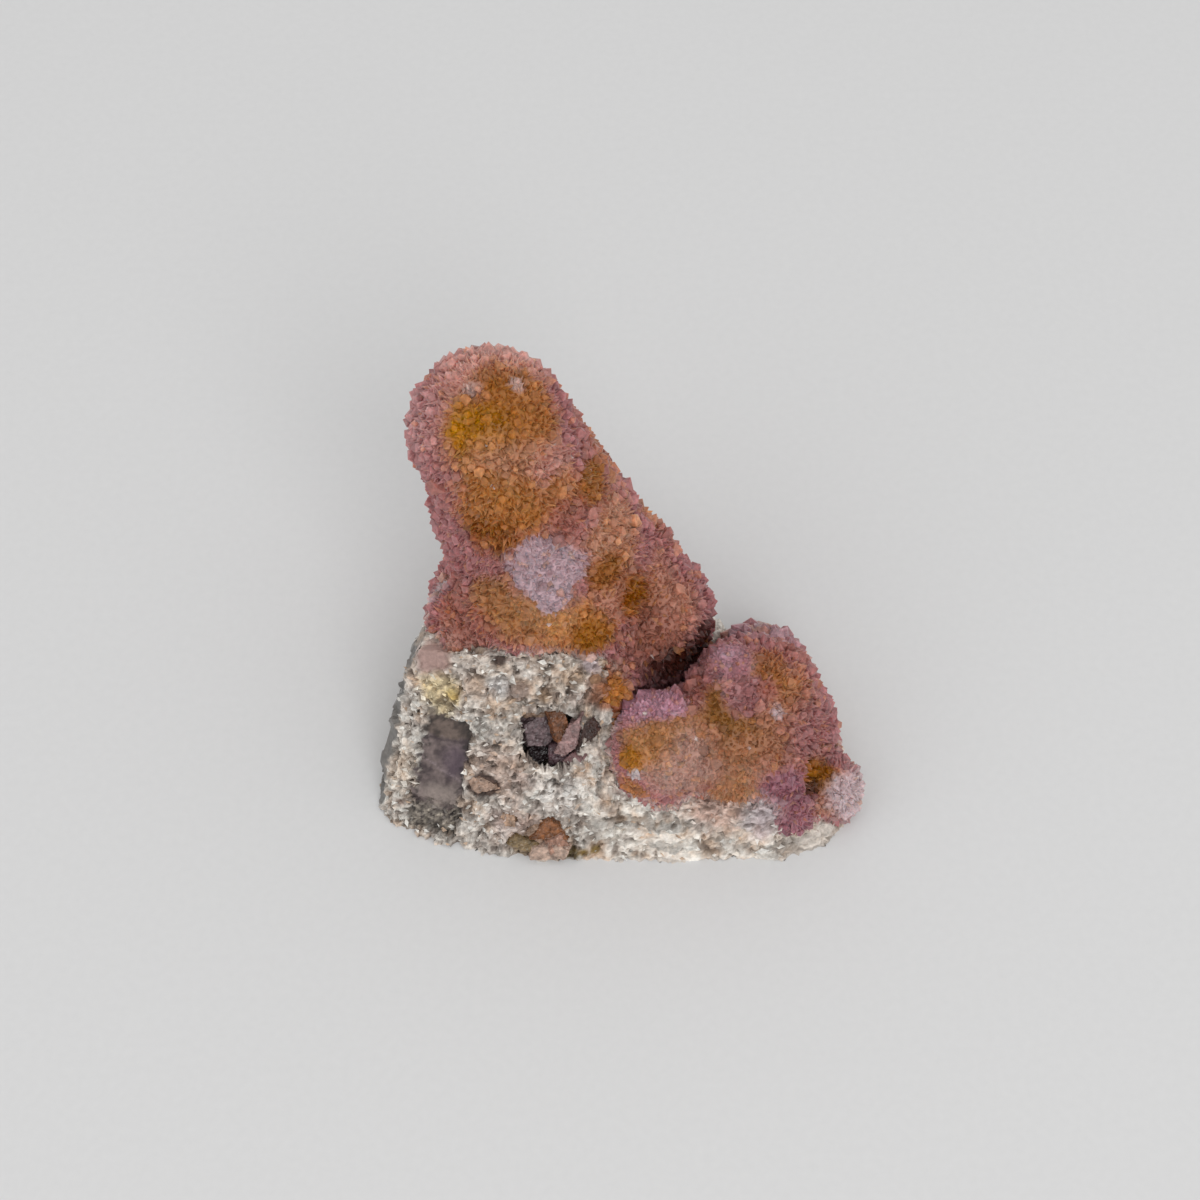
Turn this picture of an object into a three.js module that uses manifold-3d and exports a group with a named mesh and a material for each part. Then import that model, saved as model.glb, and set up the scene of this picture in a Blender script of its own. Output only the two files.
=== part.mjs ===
// A spirit quartz specimen standing on its flat broken underside: a lump of pale quartz matrix, a tall
// spire leaning up and to the left from it, and a low group of spires to the right. Both groups are
// covered all over in small quartz crystals.
// Millimetres, +Z up. The origin is the middle of the underside, and the photographed side faces -Y.
import * as THREE from "three";
import { ConvexGeometry } from "three/addons/geometries/ConvexGeometry.js";
import { ImprovedNoise } from "three/addons/math/ImprovedNoise.js";
import { TessellateModifier } from "three/addons/modifiers/TessellateModifier.js";
import { mergeVertices } from "three/addons/utils/BufferGeometryUtils.js";
import Module from "manifold-3d";

// Driving dimensions
const CRYSTAL_PITCH = 3.3; // from one small crystal to the next
const CRYSTAL_HEIGHT = 1.3; // from the valleys between the crystals to their points
const CRYSTAL_SCATTER = 0.2; // how far a crystal strays from an even spacing, in pitches
const CONTACT_GAP = 0.4; // between pieces that meet
const ROCK_GRAIN = 5.8; // longest edge of a facet on the matrix
const ROCK_RELIEF = 1.5; // deepest hollow between the matrix's lumps
const LEDGE_STEP = 2.4; // height of one layer in the matrix's foot
const LEDGE_DEPTH = 0.5;
const LAYERED_HEIGHT = 7; // how far up the layers show

// Each lump of druse is a round-ended taper from root to end.
// `points` scales the crystals' points on it: a bare crystal end has low ones.
const TALL_SPIRE = [
  { name: "trunk", root: [-1.6, 11, 15], rootRadius: 11.2, end: [-12.9, 13.2, 49.5], endRadius: 9 },
  { name: "right flank", root: [4, 11, 15], rootRadius: 7.6, end: [-6.4, 13, 36], endRadius: 7.2 },
  { name: "left flank", root: [-7.5, 10, 17], rootRadius: 9, end: [-12.4, 12.8, 36], endRadius: 7.8 },
  { name: "right swelling", root: [3.4, 12, 19], rootRadius: 6.2, end: [5.2, 12.5, 22.8], endRadius: 4 },
  { name: "front lump", root: [-9.5, 7.5, 15], rootRadius: 8.2, end: [-9.9, 5.1, 25], endRadius: 7.1 },
  { name: "front lump's right", root: [-1, 8, 15], rootRadius: 7.6, end: [-2, 5.5, 23.9], endRadius: 6.9 },
  {
    name: "bare crystal", root: [-6.8, 4, 24], rootRadius: 5, end: [-6.4, 2.8, 31.2], endRadius: 4.5,
    points: 0.5,
  },
  { name: "left lump", root: [-16.5, 7, 16], rootRadius: 5, end: [-17, 5.4, 19.5], endRadius: 4.3 },
  { name: "left foot", root: [-16.5, 4, 18.5], rootRadius: 3.4, end: [-17.2, 0.9, 20.8], endRadius: 2.6 },
  { name: "left edge", root: [-16.8, 10.5, 14], rootRadius: 4.2, end: [-17.7, 11, 18.3], endRadius: 3.2 },
  { name: "shoulder", root: [6, 8.4, 13], rootRadius: 7.8, end: [7.2, 7.6, 18.2], endRadius: 6.6 },
  { name: "low right lump", root: [1.5, 1, 14.5], rootRadius: 3.4, end: [1.2, -2.6, 16.6], endRadius: 2.2 },
  { name: "back lump", root: [-6, 16, 13], rootRadius: 8, end: [-8, 18.5, 21], endRadius: 6.5 },
];
const SHORT_SPIRES = [
  { name: "back spire", root: [20.6, -3.2, 4], rootRadius: 9.6, end: [19.3, -2.2, 11.2], endRadius: 8.5 },
  { name: "middle lump", root: [17, -5.4, 4.4], rootRadius: 8, end: [16.5, -6, 10.5], endRadius: 7.4 },
  { name: "front lump", root: [8, -7.4, 5], rootRadius: 6.8, end: [7.6, -7.6, 11.4], endRadius: 6.7 },
  {
    name: "finger", root: [18, -3.2, 12.5], rootRadius: 4.6, end: [16.2, -1.2, 19], endRadius: 3.3,
    points: 0.5,
  },
  { name: "right ridge", root: [24.2, -13, 3.5], rootRadius: 3, end: [23, -10.5, 9.4], endRadius: 2.9 },
  { name: "pale right lump", root: [29.2, -10.6, 3], rootRadius: 3.6, end: [29.6, -10, 5], endRadius: 3.4 },
  { name: "far back lump", root: [20.5, 5.6, 4], rootRadius: 6.6, end: [20.5, 5.6, 6.8], endRadius: 5.4 },
];

// The matrix, by the corners of two blocks: a foot under the low spires, a higher one under the tall.
const FOOT = [
  [-9, -18.6, 0], [10, -18.3, 0], [22.5, -19, 0], [29, -16.8, 0], [33.4, -11.2, 0], [31, 3, 0],
  [25.5, 11.5, 0], [14, 18, 0], [-4, 20, 0], [-8, -13, 6.8], [10, -13.6, 7], [22, -14.6, 6.2],
  [28.5, -12.8, 4.5], [28, 2, 7], [23, 9.5, 7], [12, 15, 7], [-4, 17, 7],
];
const BLOCK = [
  [-28.8, -10.4, 0], [-27, -13.6, 0], [-20.5, -16.5, 0], [-7, -19.2, 0], [0, -18.5, 0], [5, 18, 0],
  [-4, 22.5, 0], [-17, 20.5, 0], [-24.5, 13.5, 0], [-27.6, -6.8, 5], [-26.4, -3, 11], [-23.5, 2.5, 18.6],
  [-22.5, -0.2, 22], [-15, -2.4, 24.2], [-5, -2.1, 23.6], [0, -1.8, 21.8], [2.4, -3.8, 15.5],
  [4, -11, 6.5], [3.5, 10, 13], [-6, 18, 14], [-17.5, 15.5, 15],
];

// Hollows broken into the matrix's front, as ellipsoids: middle, half sizes along X, Y and Z, and how
// far the top leans back, in degrees
const HOLLOWS = [
  { name: "crystal pocket", at: [-6.2, -6.6, 13.8], half: [3.6, 3.6, 3.9], lean: 20 },
  { name: "small pocket", at: [-14.2, -12.2, 8], half: [2.2, 1.8, 1.5], lean: 0 },
  { name: "bed of the bare crystal face", at: [-19.4, -11.6, 8.6], half: [4, 2.2, 8.2], lean: 34 },
  { name: "notch at the foot", at: [-4, -19, 1.8], half: [3.2, 1.4, 1.4], lean: 0 },
];

const wasm = await Module();
wasm.setup();
const noise = new ImprovedNoise();

// The same sequence of numbers from 0 to 1 on every run
function seededRandom(seed) {
  let state = seed;
  return () => {
    state = (Math.imul(state, 1664525) + 1013904223) >>> 0;
    return state / 2 ** 32;
  };
}

function toSolid(geometry) {
  const bare = new THREE.BufferGeometry();
  bare.setAttribute("position", geometry.getAttribute("position"));
  if (geometry.index) bare.setIndex(geometry.index);
  const merged = mergeVertices(bare, 1e-4);
  return new wasm.Manifold(
    new wasm.Mesh({
      numProp: 3,
      vertProperties: new Float32Array(merged.getAttribute("position").array),
      triVerts: new Uint32Array(merged.index.array),
    }),
  );
}

function toGeometry(solid) {
  const mesh = solid.getMesh();
  const geometry = new THREE.BufferGeometry();
  geometry.setAttribute("position", new THREE.BufferAttribute(mesh.vertProperties, 3));
  geometry.setIndex(new THREE.BufferAttribute(mesh.triVerts, 1));
  geometry.computeVertexNormals();
  return geometry;
}

const unite = (solids) => solids.reduce((joined, solid) => joined.add(solid));

// A lump's outline from pole to pole
const outlineLength = ({ rootRadius, endRadius, length }) =>
  ((rootRadius + endRadius) * Math.PI) / 2 + Math.hypot(length, rootRadius - endRadius);

// Where a lump's outline is, a distance s along it from the pole at its root: how far up the axis,
// how far from the axis, and the outline's outward direction in that plane.
function outlineAt(s, { rootRadius, endRadius, length }) {
  const rootArc = (rootRadius * Math.PI) / 2;
  const side = Math.hypot(length, rootRadius - endRadius);
  if (s < rootArc) {
    const a = s / rootRadius;
    return { up: -rootRadius * Math.cos(a), out: rootRadius * Math.sin(a), tilt: a - Math.PI / 2 };
  }
  if (s < rootArc + side) {
    const t = (s - rootArc) / side;
    return { up: length * t, out: THREE.MathUtils.lerp(rootRadius, endRadius, t), tilt: 0 };
  }
  const a = Math.min((s - rootArc - side) / endRadius, Math.PI / 2);
  return { up: length + endRadius * Math.sin(a), out: endRadius * Math.cos(a), tilt: a };
}

// Rings of evenly spaced places over a lump, from pole to pole: one small crystal stands on each.
function crystalRings(lump, pitch, random) {
  const { rootRadius, endRadius } = lump;
  const root = new THREE.Vector3(...lump.root);
  const axis = new THREE.Vector3(...lump.end).sub(root);
  const outline = { rootRadius, endRadius, length: axis.length() };
  const zAxis = new THREE.Vector3(0, 0, 1);
  const turnToAxis = new THREE.Quaternion().setFromUnitVectors(zAxis, axis.normalize());
  const arc = outlineLength(outline);
  const steps = Math.round(arc / (pitch * 0.87));
  return Array.from({ length: steps + 1 }, (_, ring) => {
    const isPole = ring === 0 || ring === steps;
    const evenly = (arc * ring) / steps;
    const girth = 2 * Math.PI * outlineAt(evenly, outline).out;
    const count = isPole ? 1 : Math.max(3, Math.round(girth / pitch));
    return Array.from({ length: count }, (_, i) => {
      const strayUp = isPole ? 0 : (random() * 2 - 1) * CRYSTAL_SCATTER * pitch;
      const strayRound = (random() * 2 - 1) * CRYSTAL_SCATTER;
      const { up, out, tilt } = outlineAt(evenly + strayUp, outline);
      const turn = ((i + (ring % 2) / 2 + strayRound) / count) * 2 * Math.PI;
      const outwards = new THREE.Vector3(Math.cos(turn), Math.sin(turn), 0);
      const place = outwards.clone().multiplyScalar(isPole ? 0 : out).setZ(up);
      const facing = outwards.multiplyScalar(Math.cos(tilt)).setZ(Math.sin(tilt));
      if (isPole) facing.set(0, 0, Math.sign(up));
      return {
        turn,
        place: place.applyQuaternion(turnToAxis).add(root),
        facing: facing.applyQuaternion(turnToAxis),
      };
    });
  });
}

// Triangles between two rings whose places are counted on from `from` and `to`, faces outwards.
function stitch(lower, upper, from, to) {
  const triangles = [];
  const stepsBelow = lower.length > 1 ? lower.length : 0;
  const stepsAbove = upper.length > 1 ? upper.length : 0;
  const turnOf = (ring, i) => ring[i % ring.length].turn + 2 * Math.PI * Math.floor(i / ring.length);
  for (let i = 0, j = 0; i < stepsBelow || j < stepsAbove; ) {
    const goBelow = j >= stepsAbove || (i < stepsBelow && turnOf(lower, i + 1) < turnOf(upper, j + 1));
    const a = from + (i % lower.length);
    const b = to + (j % upper.length);
    const next = goBelow ? from + ((i + 1) % lower.length) : to + ((j + 1) % upper.length);
    triangles.push([a, next, b]);
    if (goBelow) i += 1;
    else j += 1;
  }
  return triangles;
}

// A lump closed over with pointed crystals: each has its point on a place of the rings, and flat faces
// down to the valleys, which lie in the middles of the triangles between the places.
function druse(lump, seed) {
  const random = seededRandom(seed);
  const pitch = Math.min(CRYSTAL_PITCH, lump.endRadius * 0.75);
  const height = CRYSTAL_HEIGHT * (lump.points ?? 1) * (pitch / CRYSTAL_PITCH);
  const rings = crystalRings(lump, pitch, random);
  const places = rings.flat();
  const triangles = [];
  rings.slice(1).forEach((upper, i) => {
    const from = rings.slice(0, i).flat().length;
    triangles.push(...stitch(rings[i], upper, from, from + rings[i].length));
  });
  const points = places.map(({ place, facing }) =>
    place.clone().addScaledVector(facing, height * (0.2 + 0.6 * random())),
  );
  const valleys = triangles.map((corners) => {
    const middle = new THREE.Vector3();
    const facing = new THREE.Vector3();
    for (const corner of corners) {
      middle.addScaledVector(places[corner].place, 1 / 3);
      facing.add(places[corner].facing);
    }
    return middle.addScaledVector(facing.normalize(), -height * 0.4);
  });
  const triangleLeftOf = new Map();
  triangles.forEach((corners, t) =>
    corners.forEach((corner, k) => triangleLeftOf.set(`${corner} ${corners[(k + 1) % 3]}`, t)),
  );
  const faces = [];
  for (const [edge, left] of triangleLeftOf) {
    const [start, stop] = edge.split(" ");
    const right = triangleLeftOf.get(`${stop} ${start}`);
    faces.push(Number(start), points.length + right, points.length + left);
  }
  const geometry = new THREE.BufferGeometry().setFromPoints([...points, ...valleys]);
  return toSolid(geometry.setIndex(faces));
}

// A smooth lump that holds a druse lump with room to spare all round
function clearance(lump, room) {
  const root = new THREE.Vector3(...lump.root);
  const axis = new THREE.Vector3(...lump.end).sub(root);
  const grown = {
    rootRadius: lump.rootRadius + room,
    endRadius: lump.endRadius + room,
    length: axis.length(),
  };
  const arc = outlineLength(grown);
  const steps = 14;
  const profile = Array.from({ length: steps + 1 }, (_, i) => {
    const { up, out } = outlineAt((arc * i) / steps, grown);
    return new THREE.Vector2(i % steps ? out : 0, up);
  });
  const turn = new THREE.Quaternion().setFromUnitVectors(new THREE.Vector3(0, 1, 0), axis.normalize());
  const geometry = new THREE.LatheGeometry(profile, 18).applyQuaternion(turn).translate(...lump.root);
  return toSolid(geometry);
}

// A broken block of rock with flat facets between its corners, then lumps and layers on all but its
// underside. Relief only goes inwards, so the block stays inside its corners.
function rock(corners) {
  const plain = new ConvexGeometry(corners.map((corner) => new THREE.Vector3(...corner)));
  const geometry = new TessellateModifier(ROCK_GRAIN, 8).modify(plain);
  const place = geometry.getAttribute("position");
  const centre = new THREE.Box3().setFromBufferAttribute(place).getCenter(new THREE.Vector3());
  const point = new THREE.Vector3();
  const inwards = new THREE.Vector3();
  for (let i = 0; i < place.count; i += 1) {
    point.fromBufferAttribute(place, i);
    if (point.z < 0.01) continue;
    const lumps = noise.noise(point.x / 4, point.y / 4, point.z / 4) * 0.5 + 0.5;
    const layer = (point.z / LEDGE_STEP) % 1;
    const depth = ROCK_RELIEF * lumps + (point.z < LAYERED_HEIGHT ? LEDGE_DEPTH * layer : 0);
    inwards.subVectors(centre, point).normalize();
    point.addScaledVector(inwards, depth);
    place.setXYZ(i, point.x, point.y, point.z);
  }
  return toSolid(geometry);
}

function makeMatrix() {
  const whole = rock(FOOT).add(rock(BLOCK));
  return HOLLOWS.reduce((solid, { at, half, lean }) => {
    const hollow = new THREE.IcosahedronGeometry(1, 1).scale(...half);
    hollow.rotateX(-THREE.MathUtils.degToRad(lean)).translate(...at);
    return solid.subtract(toSolid(hollow));
  }, whole);
}

// The matrix's blocks without relief, grown by the contact gap: what grows on it is cut back to this.
function makeMatrixBed() {
  return unite(
    [FOOT, BLOCK].map((corners) => {
      const points = corners.map((corner) => new THREE.Vector3(...corner));
      const box = new THREE.Box3().setFromPoints(points);
      const size = box.getSize(new THREE.Vector3());
      const centre = box.getCenter(new THREE.Vector3());
      const growth = size.clone().addScalar(2 * CONTACT_GAP).divide(size);
      const grown = points.map((point) => point.sub(centre).multiply(growth).add(centre));
      return toSolid(new ConvexGeometry(grown));
    }),
  );
}

function makeTallSpire(bed) {
  const druses = TALL_SPIRE.map((lump, i) => druse(lump, 11 + i));
  return unite(druses).subtract(bed);
}

// The low group gives way to the tall spire where the two grew against each other.
function makeShortSpires(bed) {
  const druses = SHORT_SPIRES.map((lump, i) => druse(lump, 41 + i));
  const room = CRYSTAL_HEIGHT + CONTACT_GAP;
  const neighbour = unite(TALL_SPIRE.map((lump) => clearance(lump, room)));
  return unite(druses).subtract(bed).subtract(neighbour);
}

// Drops the slivers that a cut leaves loose and keeps the piece they came from.
const largest = (solid) =>
  solid.decompose().reduce((best, piece) => (piece.volume() > best.volume() ? piece : best));

function namedMesh(name, solid, material) {
  const mesh = new THREE.Mesh(toGeometry(solid), material);
  mesh.name = name;
  return mesh;
}

const matrixQuartz = new THREE.MeshStandardMaterial({ color: 0xb9b0a6, roughness: 0.85, metalness: 0 });
const tallDruse = new THREE.MeshStandardMaterial({ color: 0xa8755f, roughness: 0.35, metalness: 0 });
const shortDruse = new THREE.MeshStandardMaterial({ color: 0xa97468, roughness: 0.35, metalness: 0 });

const bed = makeMatrixBed();
const group = new THREE.Group();
group.add(namedMesh("matrix", largest(makeMatrix()), matrixQuartz));
group.add(namedMesh("tall_spire", largest(makeTallSpire(bed)), tallDruse));
group.add(namedMesh("short_spires", largest(makeShortSpires(bed)), shortDruse));

export default group;
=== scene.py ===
"""Looks of the spirit quartz specimen: two groups of spires in small crystals on a lump of pale matrix.

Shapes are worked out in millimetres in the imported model's frame, and meshes are written in metres.
"""
import math
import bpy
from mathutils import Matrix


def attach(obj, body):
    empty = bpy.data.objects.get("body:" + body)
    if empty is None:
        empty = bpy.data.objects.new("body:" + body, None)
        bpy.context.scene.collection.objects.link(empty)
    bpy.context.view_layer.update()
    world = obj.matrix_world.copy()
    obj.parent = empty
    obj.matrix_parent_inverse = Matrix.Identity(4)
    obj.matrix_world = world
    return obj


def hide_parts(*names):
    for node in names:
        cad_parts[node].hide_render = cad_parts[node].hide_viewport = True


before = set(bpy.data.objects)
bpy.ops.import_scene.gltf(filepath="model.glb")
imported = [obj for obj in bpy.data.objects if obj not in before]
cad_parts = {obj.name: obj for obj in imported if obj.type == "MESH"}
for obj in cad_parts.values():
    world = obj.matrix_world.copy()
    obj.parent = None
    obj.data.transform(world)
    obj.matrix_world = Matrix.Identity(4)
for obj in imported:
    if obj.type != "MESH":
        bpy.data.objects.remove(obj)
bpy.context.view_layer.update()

from types import SimpleNamespace

import bpy
import bmesh
import numpy as np
from mathutils import Matrix, Vector, noise

MM = 0.001
UP = np.array([0.0, 0.0, 1.0])
RIGHT = np.array([1.0, 0.0, 0.0])

# Camera: the photographed view, a long lens looking down on the front
CAMERA_ELEVATION = math.radians(58)
CAMERA_TARGET = Vector((0, 8, 20)) * MM
CAMERA_DISTANCE = 320 * MM
VIEW_WIDTH = 150 * MM  # at the target
SENSOR = 36
PAPER_HALF = 1500  # of the ground under the specimen
SKY_STRENGTH = 0.76

# Lumps of druse: root, radius there, end, radius there, and how tall their crystals stand
TALL_SPIRE = {
    "trunk": ((-1.6, 11, 15), 11.2, (-12.9, 13.2, 49.5), 9, 1),
    "right_flank": ((4, 11, 15), 7.6, (-6.4, 13, 36), 7.2, 1),
    "left_flank": ((-7.5, 10, 17), 9, (-12.4, 12.8, 36), 7.8, 1),
    "right_swelling": ((3.4, 12, 19), 6.2, (5.2, 12.5, 22.8), 4, 1.1),
    "front_lump": ((-9.5, 7.5, 15), 8.2, (-9.9, 5.1, 25), 7.1, 1),
    "front_lump_right": ((-1, 8, 15), 7.6, (-2, 5.5, 23.9), 6.9, 1),
    "bare_crystal": ((-6.8, 4, 24), 5, (-6.4, 2.8, 31.2), 4.5, 0.4),
    "left_lump": ((-16.5, 7, 16), 5, (-17, 5.4, 19.5), 4.3, 1),
    "left_foot": ((-16.5, 4, 18.5), 3.4, (-17.2, 0.9, 20.8), 2.6, 0.8),
    "left_edge": ((-16.8, 10.5, 14), 4.2, (-17.7, 11, 18.3), 3.2, 1),
    "shoulder": ((6, 8.4, 13), 7.8, (7.2, 7.6, 18.2), 6.6, 1.1),
    "low_right_lump": ((1.5, 1, 14.5), 3.4, (1.2, -2.6, 16.6), 2.2, 1),
    "back_lump": ((-6, 16, 13), 8, (-8, 18.5, 21), 6.5, 1),
}
SHORT_SPIRES = {
    "back_spire": ((20.6, -3.2, 4), 9.6, (19.3, -2.2, 11.2), 8.5, 1.1),
    "middle_lump": ((17, -5.4, 4.4), 8, (16.5, -6, 10.5), 7.4, 0.7),
    "front_lump": ((8, -7.4, 5), 6.8, (7.6, -7.6, 11.4), 6.7, 0.4),
    "finger": ((18, -3.2, 12.5), 4.6, (16.2, -1.2, 19), 3.3, 0.2),
    "right_ridge": ((24.2, -13, 3.5), 3, (23, -10.5, 9.4), 2.9, 1),
    "pale_right_lump": ((29.2, -10.6, 3), 3.6, (29.6, -10, 5), 3.4, 0.9),
    "far_back_lump": ((20.5, 5.6, 4), 6.6, (20.5, 5.6, 6.8), 5.4, 1.4),
}
ALL_LUMPS = {**TALL_SPIRE, **{f"short_{name}": lump for name, lump in SHORT_SPIRES.items()}}
MELD = 0.8  # how softly neighbouring lumps run together

# The matrix by the corners of its two blocks
FOOT = [
    (-9, -18.6, 0), (10, -18.3, 0), (22.5, -19, 0), (29, -16.8, 0), (33.4, -11.2, 0), (31, 3, 0),
    (25.5, 11.5, 0), (14, 18, 0), (-4, 20, 0), (-8, -13, 6.8), (10, -13.6, 7), (22, -14.6, 6.2),
    (28.5, -12.8, 4.5), (28, 2, 7), (23, 9.5, 7), (12, 15, 7), (-4, 17, 7),
]
BLOCK = [
    (-28.8, -10.4, 0), (-27, -13.6, 0), (-20.5, -16.5, 0), (-7, -19.2, 0), (0, -18.5, 0), (5, 18, 0),
    (-4, 22.5, 0), (-17, 20.5, 0), (-24.5, 13.5, 0), (-27.6, -6.8, 5), (-26.4, -3, 11),
    (-23.5, 2.5, 18.6), (-22.5, -0.2, 22), (-15, -2.4, 24.2), (-5, -2.1, 23.6), (0, -1.8, 21.8),
    (2.4, -3.8, 15.5), (4, -11, 6.5), (3.5, 10, 13), (-6, 18, 14), (-17.5, 15.5, 15),
]
# Hollows in the matrix: middle, half sizes, and how far the top leans back in degrees
HOLLOWS = [
    ((-6.2, -7.2, 12.9), (4.3, 3.7, 4.9), 20),
    ((-8.9, -5.9, 15.2), (2.3, 2.2, 2.4), 20),
    ((-4.6, -8.6, 10.6), (2.4, 2.2, 2.6), 20),
    ((-4, -19, 1.8), (3.2, 1.4, 1.4), 0),
]
# The matrix's broken front: its outward, upward and rightward directions, and how far out it lies
FRONT_OUT = np.array((-0.167, -0.835, 0.524))
FRONT_UP = np.array((0.103, 0.514, 0.852))
FRONT_RIGHT = np.array((0.980, -0.196, 0.0))
FRONT_LEVEL = 16.4
# The bare crystal face in it: its middle and level, and how far its edges lie from the middle
WINDOW_MIDDLE = (-19.6, -10.85, 8.3)
WINDOW_FLOOR = -0.85
WINDOW_RIGHT = 2.75
WINDOW_LEFT = 3.8
WINDOW_TOP = 8.4
WINDOW_FOOT = 8.6
RUBBLE_TOP = -4.6  # below this its foot is granular
# Other kinds of surface on the matrix
LAYERS_TOP = 7.4
LAYERS_LEFT = -3.0
FIBRES_LEFT = -3.2
FIBRES_RIGHT = 6.0
FIBRES_FOOT = 5.5
FIBRES_TOP = 19
SIDE_START = 2.2  # the left side starts this far behind the broken front
BARE_LEDGE = (-20.8, -1.1, 21.9)
PALE_END = (28.0, -15.5, 2.0)
SUNK_CORNER = (19, 11.5, 7)  # at the back
STANDS_OUT = 0.6  # how far the grains stand out of the blocks
SNAP_REACH = 0.9  # a voxel corner this near to a block's face belongs on it
FOOT_BAND = 0.9  # the height up to which the rock counts as its foot
UNDERSIDE_RIM = 3.5  # the width of the underside's uneven edge

ROCK_VOXEL = 0.3
BLADE_VOXEL = 0.17
CORE_VOXEL = 0.75
CORE_DEPTH = 0.35  # the stained crust lies this far under the crystals' mean surface
SCATTER_TRIES = 7  # for each place that a skin has room for
LOWEST = 0.05  # of any small crystal
CRUST_FLOOR = 0.6  # nothing of the crust comes lower than this

# Crystals of the druse
LARGE_RADIUS = 0.56
SMALL_RADIUS = 0.3
PITCH = 1.5  # between neighbours, in their radii
LARGE_SINK = 0.45
SMALL_SINK = 0.3
BLUNTNESS = 0.85  # of their six-sided points
LOW_STANDING = 0.5  # lumps with a lower share than this have flat, cloudy crystals
TALL_STANDING = 1.3  # and with a higher one, wide crystals
# The share of crystals painted near white as painted glints
PAINTED_GLINT_SHARE = 0.0015
STAINED_SIDE = np.array((0.0, -0.53, 0.85))  # the iron stain lies on what looks this way
# Flakes and crystals on the rock
FLAKE_PITCH = 0.95
DEEPEST_FLAKE = 2.3  # under the block's face
HOLLOW_RIM = 1.12  # no flake is nearer to a hollow, in the hollow's half sizes
BLADE_FLARE = 0.12  # how much wider a blade's back is than its face
POINT_SINK = 1.2  # how deep the stained points are bedded
GROUP_COVER = 0.8  # crystals this deep in the other group of spires are left out
FLAKE_SHAPE = (1.25, 0.65, 1.25, 0.65, 0.4, 0.4)  # reach along, across, back both ways, out and in

# Materials: a noise scale is in waves per metre
ROCK_GRAIN = 620
QUARTZ_IOR = 1.54

# Colours, as the eye sees them (sRGB)
MAUVE = (0.65, 0.435, 0.44)
STAINED_TAN = (0.71, 0.50, 0.41)
ROSE_TAN = (0.78, 0.57, 0.52)
TAN = (0.75, 0.51, 0.29)
ORANGE_BROWN = (0.665, 0.425, 0.165)
OCHRE = (0.67, 0.44, 0.0)
OCHRE_BROWN = (0.58, 0.35, 0.05)
DEEP_OCHRE = (0.53, 0.29, 0.0)
OLIVE_BROWN = (0.54, 0.355, 0.14)
RED_BROWN = (0.62, 0.39, 0.34)
# Dark brown; also laid as painted shade under the shoulder and in the cleft between the spire groups
DARK_BROWN = (0.22, 0.08, 0.04)
LILAC = (0.70, 0.585, 0.61)
ROSE = (0.62, 0.42, 0.42)
VIOLET = (0.73, 0.53, 0.59)
DIM_VIOLET = (0.59, 0.40, 0.425)
CLOUDY_ROSE = (0.68, 0.52, 0.47)
CLOUDY_SPOT = (0.76, 0.63, 0.60)
DIM_TAN = (0.65, 0.445, 0.27)
LILAC_ROSE = (0.73, 0.54, 0.54)
RED_TAN = (0.61, 0.41, 0.29)
DEEP_VIOLET = (0.59, 0.395, 0.445)
GREY_LILAC = (0.68, 0.54, 0.57)
PALE_LILAC = (0.76, 0.67, 0.68)
WHITE_QUARTZ = (0.88, 0.81, 0.81)
SUGARY = (0.80, 0.71, 0.68)
# Painted glint colours, at a crystal's tip and at its foot
PAINTED_GLINT = (0.86, 0.77, 0.75)
PAINTED_GLINT_FOOT = (0.78, 0.66, 0.64)
ROCK_PALE = (0.95, 0.935, 0.905)
ROCK_MID = (0.86, 0.82, 0.78)
ROCK_WARM = (0.83, 0.72, 0.62)
ROCK_GREY = (0.70, 0.66, 0.63)
# Dark joints, and painted shade in the rock's sunk seams and pits
ROCK_CREVICE_SHADE = (0.46, 0.38, 0.34)
# Painted shade for the matrix's left side
SHADED_SIDE_GREY = (0.43, 0.42, 0.41)
FACE_DARK = (0.27, 0.225, 0.23)
FACE_CLOUD = (0.45, 0.395, 0.385)
FACE_VIOLET = (0.35, 0.29, 0.33)
FACE_BROWN = (0.34, 0.29, 0.26)
FACE_STEP = (0.20, 0.15, 0.17)
FACE_VEIL = (0.58, 0.53, 0.50)
FACE_SCRATCH = (0.58, 0.52, 0.53)
RUBBLE_DARK = (0.34, 0.31, 0.29)
RUBBLE_PALE = (0.66, 0.62, 0.57)
WINDOW_FLAKES = (0.52, 0.48, 0.45)

# Where the crystals stand less tall: middle, reach and share of their height
SMOOTHER_SPOTS = [
    (-6.6, 2, 36.2, 4.2, 0.4),
    (9, -11.5, 14, 6, 0.7),
    (16.6, -12.6, 11, 5, 0.6),
]

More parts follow.
